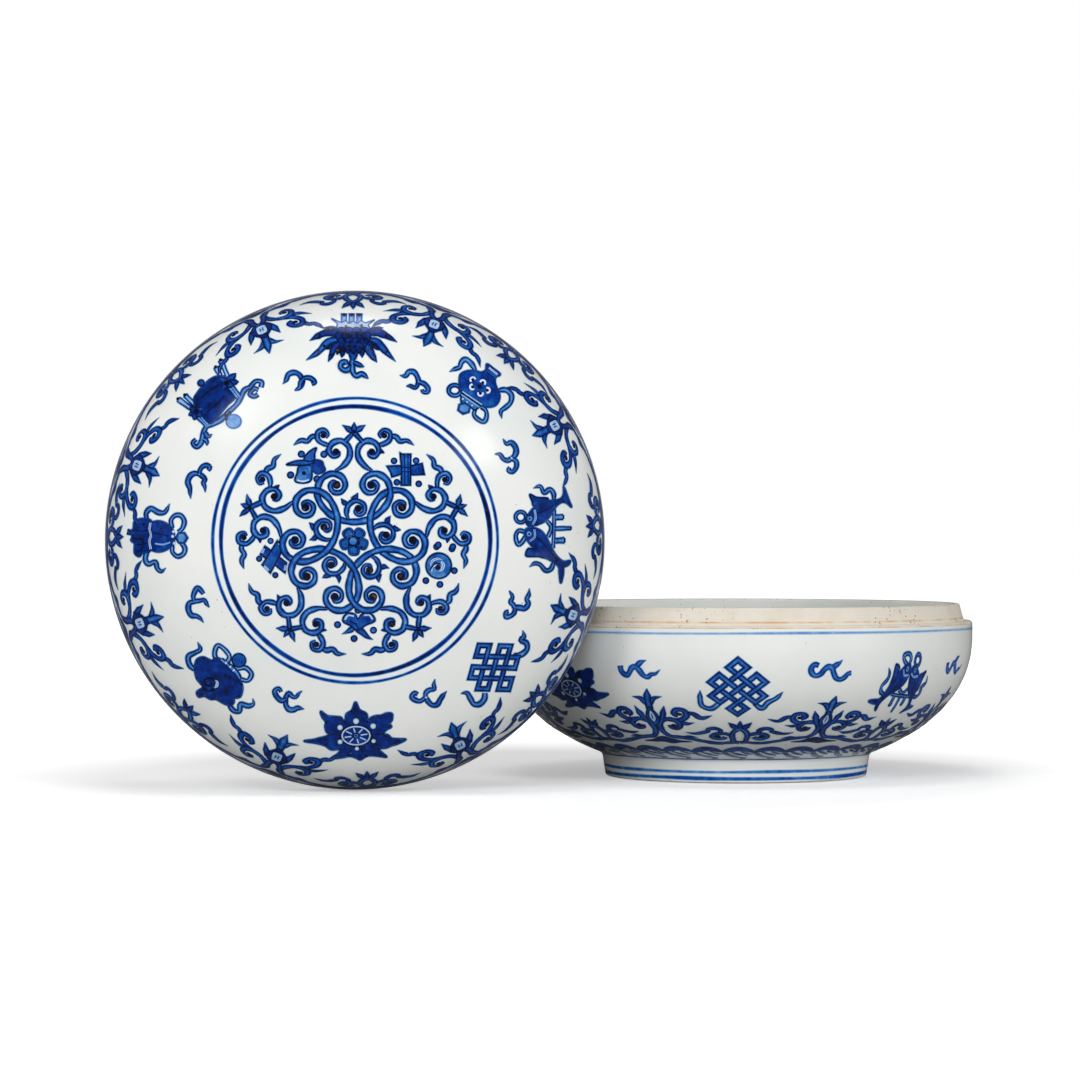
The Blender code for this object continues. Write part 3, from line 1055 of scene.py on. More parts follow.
def paint_silver(painting):
    """A folded ingot with two lobes and long ends, and four pearls."""
    painting.stroke([(0.6, -0.6), (-3.6, -3.7), (-7.2, -5.4)], 2.6, taper=(1, 0.9, 0), wash=0.5)
    painting.stroke(
        [(-2.4, -0.6), (2.0, -4.0), (4.8, -6.6), (7.5, -8.0)], 3.0, taper=(1, 1, 0.7, 0), wash=0.55,
    )
    lobes = [
        (-6.7, 0.9), (-4.9, 4.4), (-0.8, 3.9), (0.3, 1.7), (2.4, 4.2), (6.2, 4.4), (8.4, 1.1), (3.9, -1.2),
        (0.4, -3.4), (-3.1, -1.4),
    ]
    painting.fill(lobes, wash=0.58, pen=0.7)
    painting.stroke([(-5.7, 1.4), (-4.2, 3.4), (-1.5, 3.1)], 0.8, line=0.16)
    painting.stroke([(3.2, 3.5), (5.6, 3.6), (7.2, 1.6)], 0.8, line=0.16)
    painting.stroke([(-3.4, 1.0), (-0.4, -1.0), (0.6, -2.8)], 0.7, line=0.9)
    paint_pearls(painting, [(0.4, 5.9), (-9.1, -0.9), (7.6, -3.5), (-1.4, -7.4)], 1.75)


def paint_cross(painting):
    """Two crossed scrolls with pale ends, and four pearls."""
    painting.fill(
        [(-3.6, 4.4), (-0.4, 2.2), (6.4, -3.4), (5.7, -8.0), (1.0, -4.2), (-5.7, 0.6)], wash=0.66, pen=0.8,
        sharp=True,
    )
    painting.fill([(2.2, 6.9), (5.3, 4.1), (-1.1, -8.0), (-4.9, -4.2)], wash=0.60, pen=0.8, sharp=True)
    for one, two in (
        ((-4.1, 3.4), (-5.0, 1.3)), ((6.1, -4.4), (5.6, -6.8)), ((2.8, 5.9), (4.5, 4.4)),
        ((-4.0, -4.8), (-1.9, -7.0)),
    ):
        painting.stroke([one, two], 0.95, line=0.12)
    paint_pearls(painting, [(-1.0, 6.9), (-6.3, -1.4), (6.2, 0.9), (1.2, -9.0)], 1.55)


def paint_jewel(painting):
    """Two horns over a blossom, with four pearls."""
    painting.fill(
        [(-3.9, -0.4), (1.4, -0.2), (2.2, -4.4), (1.4, -7.2), (-1.9, -8.2), (-5.7, -7.2), (-4.7, -3.4)],
        wash=0.50, pen=0.8,
    )
    painting.fill(
        [(1.9, 2.4), (6.7, 1.9), (7.5, 0.1), (8.2, -2.4), (4.4, -3.9), (1.9, -0.9)], wash=0.70, pen=0.9,
    )
    painting.fill(
        [(-9.7, 0.4), (-5.7, 2.0), (-1.1, 2.4), (3.4, 1.6), (-1.1, 0.1), (-5.7, 0.2)], wash=0.60, pen=0.8,
    )
    painting.fill(
        [(-1.6, 2.9), (0.9, 6.4), (4.2, 8.2), (3.4, 5.7), (3.2, 2.9), (1.4, 1.9)], wash=0.56, pen=0.8,
    )
    painting.stroke([(-4.8, -6.8), (-2.0, -7.4), (0.8, -6.6)], 0.7, line=0.14)
    painting.dot((-1.6, -3.6), 1.0, heart=1.1)
    paint_pearls(painting, [(-2.8, 5.3), (7.7, 5.2), (-7.8, -4.4), (4.5, -6.3)], 1.8)


def paint_roundel(painting):
    for k in range(5):
        painting.lay(front_chart(painting.skin, ROUNDEL_MIDDLE, -72 * k))
        paint_inner_curl(painting)
        for side in (-1, 1):
            paint_head(painting, side)
        paint_tip(painting)
    painting.order = STRAND_ORDER
    for k in range(5):
        painting.lay(front_chart(painting.skin, ROUNDEL_MIDDLE, -72 * k), painting.order)
        paint_strand(painting)
    painting.lay(front_chart(painting.skin, ROUNDEL_MIDDLE))
    paint_flower(painting)
    treasures = [paint_clappers, paint_coin, paint_silver, paint_cross, paint_jewel]
    for treasure, place in zip(treasures, TREASURE_PLACES):
        painting.lay(front_chart(painting.skin, place))
        treasure(painting)


# The eight emblems, each in the way it lies on the lid; a bowl emblem is the same one, set upright

def paint_ribbon(painting, points, width=2.3):
    """A loose ribbon that runs out to a point."""
    painting.stroke(points, width, taper=(0.8, 1, 1, 1, 0.95, 0.8, 0), wash=0.36)


def paint_petal(painting, points, width, wash=0.6):
    """A pointed petal, broad near its base."""
    painting.stroke(points, width, taper=(0.6, 1, 0.95, 0.7, 0), wash=wash)


def paint_lotus(painting):
    petals = [
        ([(-5.0, 5.2), (-8.6, 6.6), (-12.9, 7.2)], 2.8, 0.6),
        ([(7.6, 5.2), (11.4, 6.6), (15.3, 7.2)], 2.8, 0.6),
        ([(-5.0, 1.8), (-10.4, 0.4), (-15.2, -4.4), (-21.2, -8.6)], 3.6, 0.38),
        ([(6.6, 1.8), (12.0, 0.4), (16.4, -4.4), (21.0, -9.2)], 3.6, 0.42),
        ([(-4.4, 3.6), (-10.0, 5.0), (-14.8, 3.6), (-19.6, 0.8)], 4.0, 0.60),
        ([(6.0, 3.6), (11.4, 5.2), (16.4, 3.4), (21.8, 0.2)], 4.0, 0.60),
        ([(-5.4, 0.2), (-8.6, -1.4), (-12.2, -3.4)], 3.0, 0.7),
        ([(7.0, 0.2), (10.4, -1.4), (13.4, -3.8)], 3.0, 0.7),
        ([(-4.4, 0.2), (-7.8, -2.6), (-9.2, -6.0), (-10.8, -9.4)], 3.6, 0.55),
        ([(6.0, 0.2), (8.4, -3.6), (10.0, -6.4), (12.2, -9.6)], 4.0, 0.46),
        ([(-3.4, -0.4), (-5.6, -3.6), (-6.8, -6.0)], 3.0, 0.7),
        ([(-2.6, -1.0), (-3.8, -4.0), (-4.4, -7.4)], 3.2, 0.62),
        ([(4.6, -1.0), (5.0, -4.0), (5.2, -7.4)], 3.2, 0.62),
        ([(1.0, -1.4), (1.0, -5.0), (0.7, -10.2)], 4.6, 0.50),
    ]
    for across in (-3.3, 0.3, 3.9):
        painting.stroke([(across - 0.1, 7.6), (across, 14.4)], 2.5, line=0.7, wash=0.30)
        painting.dot((across, 13.5), 0.95, heart=0.95)
    crown = [
        (-7.0, 6.6), (-6.4, 9.0), (-9.2, 11.6), (-4.6, 9.8), (-2.6, 10.6), (-1.0, 9.2), (1.0, 10.4),
        (2.8, 9.2), (4.6, 10.6), (6.6, 9.6), (11.0, 11.0), (8.0, 8.4), (9.0, 6.6),
    ]
    painting.fill(crown, wash=0.22, pen=0.6, line=0.8)
    for points, width, wash in petals:
        paint_petal(painting, points, width * 0.86, wash + 0.08)
        painting.dot(points[-2], 0.7, heart=1.3, rim=1.2)
    scale = [(-1.7, 1.2), (0, 1.9), (1.7, 1.2), (1.5, -1.2), (0, -3.2), (-1.5, -1.2)]
    rows = [
        (5.4, (-4.4, -1.0, 2.6, 6.2)),
        (3.0, (-5.4, -2.6, 0.8, 4.4, 7.4)),
        (0.4, (-4.0, -0.8, 2.6, 6.0)),
        (-2.0, (-1.6, 1.0, 3.8)),
    ]
    for row, (up, places) in enumerate(rows):
        for across in places:
            painting.fill(moved(scale, across, up), wash=0.70 + 0.03 * row, pen=0.6)
    specks = [
        (-4.2, 3.6), (-1.8, 4.4), (0.6, 3.2), (5.2, 3.4), (-3.4, 1.2), (-0.4, 0.6), (3.2, 0.4),
        (6.4, 1.2), (-1.6, -2.4), (1.8, -2.0), (4.4, -2.6), (-9.4, 6.4), (-14.8, 2.2), (-12.6, -1.8),
        (-6.2, -3.8), (1.2, -5.4), (8.8, -3.6), (11.0, 3.4), (-2.4, 7.6), (4.8, 8.0), (2.6, 4.2),
        (-2.8, 0.6),
    ]
    painting.dots(specks, 0.7, heart=1.3, rim=1.2)
    painting.stroke(
        [(0.8, -8.9), (-0.4, -12.2), (-2.6, -13.4), (-4.8, -12.0), (-4.4, -9.8), (-2.6, -9.4), (-2.2, -10.8)],
        2.4, wash=0.36,
    )
    paint_ribbon(painting, [(0.6, -10.5), (0.9, -14.2), (2.4, -16.0), (5.0, -15.0), (8.2, -17.4)], 2.4)
    paint_petal(painting, [(1.0, -9.4), (3.4, -10.6), (6.2, -11.8)], 2.2, 0.45)


def paint_vase(painting):
    paint_ribbon(
        painting,
        [(-2.2, 9.2), (-4.2, 12.6), (-6.9, 14.4), (-8.8, 12.8), (-9.6, 10.6), (-12.0, 9.6), (-14.6, 8.2)],
    )
    paint_ribbon(
        painting,
        [(8.6, -0.3), (12.4, 0.0), (14.9, -2.4), (14.4, -6.0), (12.2, -8.2), (9.8, -10.2), (10.2, -13.8)],
    )
    painting.stroke(circle((-12.0, -0.5), 2.9, 2.5, count=9), 1.9, closed=True, wash=0.35)
    painting.stroke(
        [(-2.2, -8.6), (-3.0, -12.0), (-0.4, -14.6), (1.8, -15.2), (3.0, -12.4), (2.4, -9.6), (0.4, -8.2)],
        1.9, wash=0.3,
    )
    body = [
        (-8.9, 7.5), (-5.9, 8.9), (-1.9, 9.0), (0.5, 8.3), (2.8, 9.4), (3.4, 12.4), (6.4, 10.4), (9.8, 7.4),
        (7.6, 6.0), (7.2, 3.6), (7.9, 1.2), (9.2, -1.6), (9.2, -4.3), (7.6, -7.2), (4.4, -8.3), (0.3, -7.5),
        (-8.7, -1.7), (-9.7, 5.9),
    ]
    painting.fill(body, wash=0.66, pen=0.9)
    painting.stroke([(4.4, 10.6), (8.4, 7.4)], 0.9, line=0.06)
    painting.stroke([(3.4, 8.2), (6.6, 5.8)], 0.7, line=1.0)
    skirt = [(-8.9, -1.7), (0.2, -7.8), (-2.6, -9.8), (-5.6, -8.0), (-9.0, -7.2), (-9.2, -4.3)]
    painting.fill(skirt, wash=0.5, pen=0.8, sharp=True)
    painting.stroke([(-8.4, -1.0), (0.8, -7.2)], 0.6, line=0.25)
    painting.stroke([(-9.0, -2.4), (-0.4, -8.4)], 0.6, line=0.3)
    painting.dots([(-8.2, -4.6), (-6.2, -6.0), (-3.9, -7.6)], 0.7, heart=0.12, rim=0.6)
    painting.fill(circle((-7.7, -9.0), 2.9, 2.6, count=6, start=20), wash=0.36, pen=1.0, sharp=True)
    for across, up, turn in (
        (-3.4, 4.6, 120), (1.3, 3.3, 60), (3.4, -0.3, 0), (0.1, -1.8, 270), (-3.6, 1.2, 200),
    ):
        start = math.radians(turn)
        angles = [start + a for a in (-1.9, -1.0, 0, 1.0, 1.9)]
        arc = [(across + 1.25 * math.cos(a), up + 1.25 * math.sin(a)) for a in angles]
        painting.stroke(arc, 0.85, line=0.06)
        painting.dot((across, up), 0.6, heart=1.0)
    painting.dot((-0.3, 1.4), 1.1, heart=0.9)


def paint_fish(painting):
    painting.stroke([(4.4, 9.6), (4.4, 4.0), (4.2, -3.0), (3.8, -8.8)], 1.6, wash=0.3)
    painting.stroke([(0.6, 4.6), (3.0, 1.2), (1.4, -3.6)], 1.8, wash=0.3)
    for up, end, width in ((5.8, 8.9, 2.5), (0.5, 12.6, 2.0), (-5.2, 9.5, 2.7)):
        painting.stroke([(4.9, up), (end, up + 0.2)], width, line=0.95, wash=0.36)
        painting.stroke([(end, up + width / 2), (end, up - width / 2 + 0.4)], 0.8, line=1.0)
    painting.stroke(circle((-11.6, 5.9), 2.5, count=9), 1.7, closed=True, wash=0.35)
    painting.stroke(
        [(-9.4, -1.2), (-12.4, -0.4), (-14.0, -2.8), (-12.7, -7.0), (-10.4, -5.0), (-9.4, -3.0)], 1.9,
        wash=0.3,
    )
    paint_ribbon(
        painting, [(4.2, 13.4), (4.2, 17.0), (2.4, 19.0), (-0.4, 17.4), (-2.2, 20.4), (-5.7, 19.4)], 2.0,
    )
    paint_ribbon(
        painting, [(4.2, -15.4), (2.8, -18.6), (0.4, -19.2), (-2.4, -16.4), (-4.8, -15.8), (-7.6, -17.6)],
        2.0,
    )
    painting.fill(
        [(-7.3, 16.6), (-4.0, 15.2), (1.6, 14.6), (0.6, 13.0), (-3.0, 11.8), (-5.6, 11.2), (-6.2, 13.4)],
        wash=0.66, pen=0.8,
    )
    painting.fill(
        [(-9.2, -12.2), (-8.0, -8.8), (-4.6, -9.8), (0.6, -13.4), (-3.4, -12.6), (-6.0, -12.6)], wash=0.66,
        pen=0.8,
    )
    upper = [
        (-9.2, 4.2), (-7.2, 8.2), (-5.0, 10.6), (-2.1, 12.5), (1.3, 13.6), (5.2, 13.9), (8.0, 14.9),
        (9.0, 17.0), (9.2, 20.2), (10.9, 16.2), (11.6, 14.2), (13.0, 10.6), (10.4, 12.6), (8.6, 13.0),
        (6.0, 11.6), (4.2, 9.2), (2.3, 6.2), (0, 4.0), (-2.7, 2.7), (-5.4, 1.9), (-7.8, 1.6),
    ]
    lower = [
        (-9.6, -0.2), (-7.8, 1.0), (-5.4, 0.9), (-2.1, -0.4), (0.6, -3.4), (2.3, -6.7), (4.6, -11.0),
        (7.2, -13.9), (9.4, -15.0), (12.4, -14.7), (11.2, -16.8), (9.2, -17.7), (8.9, -20.8), (7.7, -25.2),
        (6.9, -20.4), (6.7, -17.8), (4.9, -15.8), (1.9, -14.1), (-1.4, -12.2), (-5.4, -8.8), (-8.2, -5.4),
        (-9.8, -2.6),
    ]
    for body in (upper, lower):
        painting.fill(body, wash=0.74, pen=0.9)
    painting.stroke([(-6.0, 2.4), (-4.6, 5.2), (-5.0, 9.4)], 0.9, line=0.22)
    painting.stroke([(-5.2, 0.2), (-5.0, -3.4), (-7.4, -5.4)], 0.9, line=0.22)
    painting.stroke([(-3.6, 7.6), (1.0, 9.6), (5.6, 12.4)], 0.7, line=1.0)
    painting.stroke([(-3.6, -4.0), (0.8, -8.4), (5.6, -14.2)], 0.7, line=1.0)
    for start, end in (((8.2, 14.8), (9.2, 12.8)), ((6.6, -13.4), (5.0, -15.6))):
        painting.stroke([start, end], 0.7, line=1.0)
    for eye in ((-7.4, 5.2), (-7.7, -2.0)):
        painting.dot(eye, 1.25, heart=0.12, rim=0.5)
        painting.dot(eye, 0.6, heart=1.0)


def knot_path(pitch):
    """The endless knot as one closed path that weaves over and under itself."""
    corners = [
        (0, 2), (1, 2), (1, -2), (2, -2), (2, -1), (-2, -1), (-2, 0), (2, 0), (2, 1), (-2, 1), (-2, 2),
        (-1, 2), (-1, -2), (0, -2),
    ]
    points = []
    for (a, b), (c, d) in zip(corners, corners[1:] + corners[:1]):
        steps = max(abs(c - a), abs(d - b))
        for i in range(steps):
            x = a + (c - a) * i // steps
            y = b + (d - b) * i // steps
            level = 0.5 if i == 0 else float(((x + y) % 2 == 0) == (a == c))
            points.append((x * pitch, y * pitch, level))
    return points


def paint_knot(painting):
    painting.stroke(knot_path(5.2), 2.35, wash=0.46, closed=True, sharp=True)


def paint_lid_knot(painting):
    """The knot on the lid leans to one side."""
    paint_ribbon(
        painting,
        [(8.0, 6.4), (11.6, 7.0), (14.3, 9.6), (13.9, 12.4), (11.3, 13.8), (12.7, 15.6), (12.1, 18.6)], 2.5,
    )
    paint_ribbon(
        painting,
        [
            (-5.6, -11.0), (-5.8, -13.8), (-7.9, -16.3), (-10.6, -16.4), (-12.4, -13.8), (-14.2, -11.0),
            (-17.2, -11.2),
        ],
        2.5,
    )
    level = painting.chart

    def leaning(x, y):
        return level(0.96 * x + 0.265 * y - 1.4, 0.98 * y - 0.04 * x + 1.0)

    painting.lay(leaning, painting.order)
    paint_knot(painting)


def paint_wheel(painting):
    hub = (-0.4, -1.4)
    right = [
        (-0.6, 14.6), (1.2, 11.0), (4.5, 9.0), (5.2, 5.4), (6.4, 7.0), (8.9, 8.0), (11.4, 8.2), (13.8, 9.2),
        (16.4, 9.0), (16.4, 6.0), (15.4, 4.2), (16.2, 2.8), (13.8, 1.3), (12.4, -0.6),
        (14.6, -1.2), (16.3, -2.8), (19.5, -3.2), (23.0, -3.4), (18.9, -5.6), (16.3, -6.4), (13.8, -7.4),
        (10.4, -8.0), (12.2, -10.2), (14.0, -11.9), (9.8, -11.4), (5.5, -11.2),
    ]
    low = [
        (3.3, -12.1), (1.6, -13.2), (-0.4, -12.2), (-3.4, -11.4), (-6.5, -12.0), (-12.2, -12.5),
        (-8.9, -10.2), (-7.8, -8.2),
    ]
    left = [
        (-12.2, -8.2), (-14.8, -6.4), (-18.7, -5.2), (-24.8, -4.1), (-20.3, -3.4), (-17.9, -2.7),
        (-15.4, -2.1), (-13.2, -1.0), (-14.4, 0.7), (-14.9, 3.2), (-14.6, 5.2), (-16.1, 7.2), (-17.0, 10.2),
        (-13.8, 8.1), (-10.6, 7.7), (-7.3, 7.2), (-6.0, 5.2), (-5.4, 6.4), (-4.9, 9.0), (-2.4, 10.7),
    ]
    painting.fill([*right, *low, *left], wash=0.76, pen=1.0)
    specks = [
        (4.9, 5.2), (12.3, -0.6), (10.2, -8.1), (4.4, -11.0), (-3.6, -11.2), (-7.6, -8.2), (-13.0, -1.1),
        (-5.9, 5.0), (-2.6, 10.3), (4.0, 9.0), (8.8, 7.6), (15.3, 4.3), (-14.5, 5.1), (-14.4, -6.0),
    ]
    painting.dots(specks, 0.65, heart=1.2, rim=1.0)
    for angle in (38, 5, 330, 285, 255, 210, 175, 140):
        turn = math.radians(angle)
        inner = [(hub[0] + r * 7.6 * math.cos(turn), hub[1] + r * 5.6 * math.sin(turn)) for r in (1.1, 1.55)]
        painting.stroke(inner, 0.6, line=1.0)
    painting.fill(circle(hub, 7.3, 5.1, count=14), wash=0.70, pen=0.8)
    painting.stroke(circle(hub, 6.5, 4.4, count=16), 0.65, line=0.14, closed=True)
    for k in range(8):
        turn = math.radians(45 * k + 12)
        reach = [(hub[0] + r * 6.0 * math.cos(turn), hub[1] + r * 4.1 * math.sin(turn)) for r in (0.38, 0.92)]
        painting.stroke(reach, 0.6, line=0.16)
    painting.dot(hub, 1.4, heart=0.15, rim=1.0)
    painting.dot(hub, 0.6, heart=0.9)
    for place, size in (
        ((-0.4, 5.6), 1.35), ((7.6, 3.2), 1.3), ((7.8, -4.0), 1.0), ((0, -7.6), 0.95), ((-7.9, -4.3), 1.15),
        ((-7.9, 2.6), 1.25),
    ):
        painting.dot(place, size + 0.45, heart=1.0)
        painting.dot(place, size, heart=0.05, rim=0.2)


def paint_conch(painting):
    paint_ribbon(
        painting, [(-11.0, 2.4), (-14.4, 5.6), (-14.8, 9.4), (-11.4, 11.4), (-9.2, 12.8), (-10.4, 16.4)],
    )
    paint_ribbon(
        painting,
        [(3.6, -12.6), (6.4, -16.2), (8.9, -16.4), (9.6, -13.0), (13.2, -13.8), (15.6, -12.8), (15.3, -10.0)],
    )
    painting.stroke(
        [(-1.4, 7.2), (-2.4, 11.2), (-0.8, 14.8), (3.0, 12.2), (4.6, 9.2), (3.2, 6.6)], 2.0, wash=0.25,
    )
    painting.stroke([(8.4, 3.8), (12.0, 4.4), (14.8, 1.4), (13.2, -1.6), (9.0, -1.0)], 2.0, wash=0.25)
    painting.fill(circle((9.0, 7.8), 3.2, count=9), wash=0.55, pen=0.7)
    body = [
        (-11.7, 5.8), (-10.6, 8.2), (-7.9, 9.2), (-5.4, 8.2), (-3.7, 7.6), (-1.5, 9.0), (2.4, 7.0),
        (5.8, 3.8), (8.6, 0.4), (9.8, -1.9), (10.6, -5.5), (9.3, -9.5), (6.6, -10.3), (6.4, -12.1),
        (4.8, -13.7), (1.8, -12.8), (-2.1, -10.7), (-4.5, -10.8), (-7.6, -9.3), (-10.3, -9.8), (-11.2, -7.6),
        (-8.2, -5.1), (-11.0, -1.2), (-11.8, 2.1),
    ]
    painting.fill(body, wash=0.76, pen=1.0)
    specks = [
        (-11.6, 3.4), (-7.6, 8.6), (-3.6, 7.4), (9.9, -3.6), (9.0, -8.9), (6.4, -10.6), (-1.8, -10.5),
        (-7.2, -9.0), (-8.3, -5.2), (-11.0, -0.8),
    ]
    painting.dots(specks, 0.6, heart=1.2, rim=1.0)
    painting.stroke(
        [
            (-8.2, -5.4), (-5.8, -6.9), (-2.8, -5.9), (-1.6, -3.2), (-3.4, -0.8), (-6.4, -1.0), (-7.2, -3.0),
            (-5.4, -4.4), (-3.8, -3.4),
        ],
        1.1, line=1.0, wash=0.95,
    )
    painting.stroke(
        [(-2.8, -5.4), (-1.6, -4.4), (-1.3, -2.6), (-2.4, -1.4)], 1.1, taper=(0.1, 1, 0.9, 0.1), line=0.05,
    )
    painting.stroke([(0.6, 8.2), (4.2, 5.4), (8.0, 1.8), (9.4, -0.8)], 2.4, taper=(0.8, 1, 1, 0.7), wash=0.30)
    painting.dots([(3.0, 6.6), (5.0, 4.8), (6.6, 3.2)], 0.8, heart=0.06, rim=0.5)
    painting.stroke([(2.0, 1.0), (6.4, -1.4), (8.2, -5.0)], 0.7, line=0.9)


def paint_canopy(painting):
    paint_ribbon(painting, [(-4.6, 6.0), (-5.2, 10.0), (-3.0, 12.2), (0.8, 10.4), (3.6, 10.4), (6.2, 14.6)])
    paint_ribbon(
        painting,
        [(-4.4, -7.0), (-5.6, -11.4), (-4.2, -13.8), (-0.8, -12.8), (0.2, -15.8), (2.0, -17.2), (4.4, -15.6)],
    )
    painting.stroke(
        [(7.2, 3.0), (6.8, 6.8), (8.8, 9.0), (11.4, 8.9), (13.0, 6.4), (12.2, 3.0), (10.2, 1.0)], 2.0,
        wash=0.3,
    )
    painting.stroke(
        [(7.2, -4.8), (7.6, -8.4), (10.0, -10.2), (12.8, -8.8), (13.3, -6.2), (11.4, -3.6)], 2.0, wash=0.3,
    )
    painting.stroke([(-14.6, 1.4), (-11.0, 0.6)], 2.4, wash=0.6)
    skirt = [
        (-2.6, 6.2), (-7.2, 7.5), (-10.9, 6.1), (-11.4, 2.9), (-12.7, 1.0), (-12.0, -1.0), (-12.6, -2.7),
        (-10.9, -4.2), (-10.9, -6.6), (-10.7, -8.9), (-8.5, -10.3), (-6.8, -8.6), (-3.1, -7.5),
    ]
    painting.fill(skirt, wash=0.76, pen=1.0)
    for points in (
        [(-11.2, 2.8), (-8.0, 1.6), (-4.4, 2.0)], [(-12.0, -1.0), (-9.0, -2.2), (-6.4, -1.0)],
        [(-10.8, -4.3), (-7.6, -4.8), (-4.4, -4.0)], [(-10.6, -8.4), (-8.0, -7.4), (-6.6, -5.4)],
    ):
        painting.stroke(points, 0.7, line=1.0)
    painting.dots([(-6.4, 4.8), (-6.6, -3.6)], 0.7, heart=1.2)
    dome = [
        (-2.6, 5.4), (0.8, 6.3), (4.1, 5.4), (7.1, 3.0), (8.3, -0.2), (7.9, -4.2), (4.8, -6.9), (0.8, -8.0),
        (-2.6, -6.9), (-3.2, -2.9), (-2.6, -0.2), (-3.3, 2.5),
    ]
    painting.fill(dome, wash=0.72, pen=1.0)
    painting.stroke([(-2.9, -6.8), (-3.5, -2.9), (-2.8, -0.2), (-3.5, 2.5), (-3.0, 5.6)], 0.95, line=0.10)
    painting.stroke([(-1.2, 0.8), (2.4, 0.2), (5.6, -0.8)], 0.7, line=1.0)
    painting.stroke([(-0.8, -4.2), (3.0, -4.6), (6.4, -3.6)], 0.7, line=0.3)
    painting.dot((2.2, 2.7), 0.6, heart=1.2)
    painting.fill(circle((11.8, -1.5), 2.7, 2.6, count=6), wash=0.40, pen=1.0, sharp=True)
    painting.dots([(7.6, -0.8), (8.4, -4.0), (8.0, 1.4)], 0.75, heart=0.06, rim=0.3)


def paint_banner(painting):
    yoke = [
        (19.6, 4.4), (16.2, 5.6), (13.2, 4.6), (11.2, 1.0), (9.1, -2.6), (5.4, -6.0), (1.6, -9.8),
        (-2.2, -11.6), (-4.8, -12.8), (-6.3, -16.1), (-7.0, -19.6), (-9.4, -22.3), (-11.2, -20.4),
        (-9.6, -18.6),
    ]
    painting.stroke(yoke, 2.3, taper=(0.8, 1, 1, 1, 1, 1, 1, 0.8), wash=0.34)
    painting.stroke([(15.4, 5.6), (18.4, 8.6), (21.0, 8.0), (20.6, 5.6)], 2.1, wash=0.34)
    painting.stroke([(17.4, 5.0), (15.4, 2.6), (17.6, 1.4), (19.4, 2.4)], 2.0, wash=0.4)
    paint_petal(painting, [(-5.8, -15.0), (-4.0, -17.4), (-2.0, -16.2)], 2.3, 0.4)
    paint_petal(painting, [(-6.6, -18.4), (-4.8, -19.4), (-4.4, -21.8)], 2.3, 0.4)
    for one, two in (
        ((4.8, 11.2), (1.4, 19.0)), ((-11.2, -4.8), (-18.7, 0.6)), ((1.6, 11.2), (-0.9, 15.6)),
        ((-10.6, -2.3), (-15.4, 2.4)),
    ):
        painting.stroke([one, two], 2.5, taper=(0.8, 1), line=0.9, wash=0.16)
        painting.dot(two, 0.9, heart=1.1)
    cloth = [
        (-10.9, 0.6), (-9.4, 3.3), (-6.8, 6.6), (-3.0, 9.9), (0.6, 11.2), (4.4, 10.4), (7.6, 6.0), (8.2, 0.6),
        (5.1, -2.4), (1.4, -7.0), (-2.6, -11.2), (-6.0, -9.2), (-9.4, -5.4),
    ]
    painting.fill(cloth, wash=0.77, pen=1.0)
    painting.fill(circle((-7.7, 8.0), 1.5, count=6), wash=0.6, pen=0.8)
    for one, two in (((6.0, 6.6), (10.2, 1.0)), ((-9.8, -6.4), (-4.4, -12.2))):
        painting.stroke([one, two], 2.8, line=0.9, wash=0.14)
        painting.stroke([one, two], 0.6, line=0.6)
    painting.stroke([(-7.4, 1.0), (-3.4, 4.4), (1.0, 7.0)], 0.7, line=1.0)
    painting.stroke([(-4.4, -6.0), (0.4, -1.8), (4.2, 2.6)], 0.7, line=1.0)
    for centre, tips in (
        ((4.4, 7.8), ((9.0, 12.6), (10.4, 8.4), (1.0, 10.6), (2.4, 4.4), (8.0, 6.0))),
        ((-9.6, -5.6), ((-13.6, -7.4), (-10.8, -9.8), (-13.0, -3.4), (-6.4, -4.0), (-7.0, -8.4))),
    ):
        for tip in tips:
            middle = ((centre[0] + tip[0]) / 2, (centre[1] + tip[1]) / 2)
            paint_petal(painting, [centre, middle, tip], 3.2, 0.6)
        painting.dot(centre, 1.5, heart=1.1)
    # The ball has a pale wash and a light outline. This is partly its own pale blue and partly a painted
    # highlight: the lamp's soft reflection that lies over it on the lid. The bowl's copy is drawn the same.
    painting.fill(circle((8.0, -10.4), 3.5, 3.2, count=9), wash=0.34, pen=0.6, line=0.6)
    painting.dots([(4.2, -7.4), (6.2, -6.4), (4.6, -9.2)], 0.9, heart=0.9)


# How each emblem lies: its place on the lid in millimetres, its turn clockwise from the top, and how much
# wider and taller it is drawn on the bowl
EMBLEMS = [
    (paint_lotus, (-2.1, 93.0), -1.3, (1.0, 1.15)),
    (paint_vase, (58.5, 71.0), 39.5, (1.0, 1.15)),
    (paint_fish, (89.0, 5.1), 86.7, (0.80, 1.20)),
    (paint_lid_knot, (66.4, -60.7), 132.4, (1.0, 1.0)),
    (paint_wheel, (0.6, -90.2), 179.6, (1.0, 1.02)),
    (paint_conch, (-63.5, -63.8), 224.9, (1.0, 1.15)),
    (paint_canopy, (-93.0, 2.8), 271.7, (1.0, 1.2)),
    (paint_banner, (-64.9, 66.1), 315.5, (1.0, 1.15)),
]


def paint_bowl_knot(painting):
    paint_ribbon(painting, [(-8.6, -7.4), (-13.6, -11.4), (-18.0, -9.6), (-18.6, -5.0), (-18.2, -0.6)], 2.6)
    paint_ribbon(painting, [(8.0, -8.0), (12.4, -11.0), (15.0, -7.6), (18.8, -5.2), (22.0, -1.4)], 2.6)
    level = painting.chart

    def on_corner(x, y):
        return level(-(x + y) * BOWL_KNOT_GROW[0], (x - y) * BOWL_KNOT_GROW[1])

    painting.lay(on_corner, painting.order)
    paint_knot(painting)


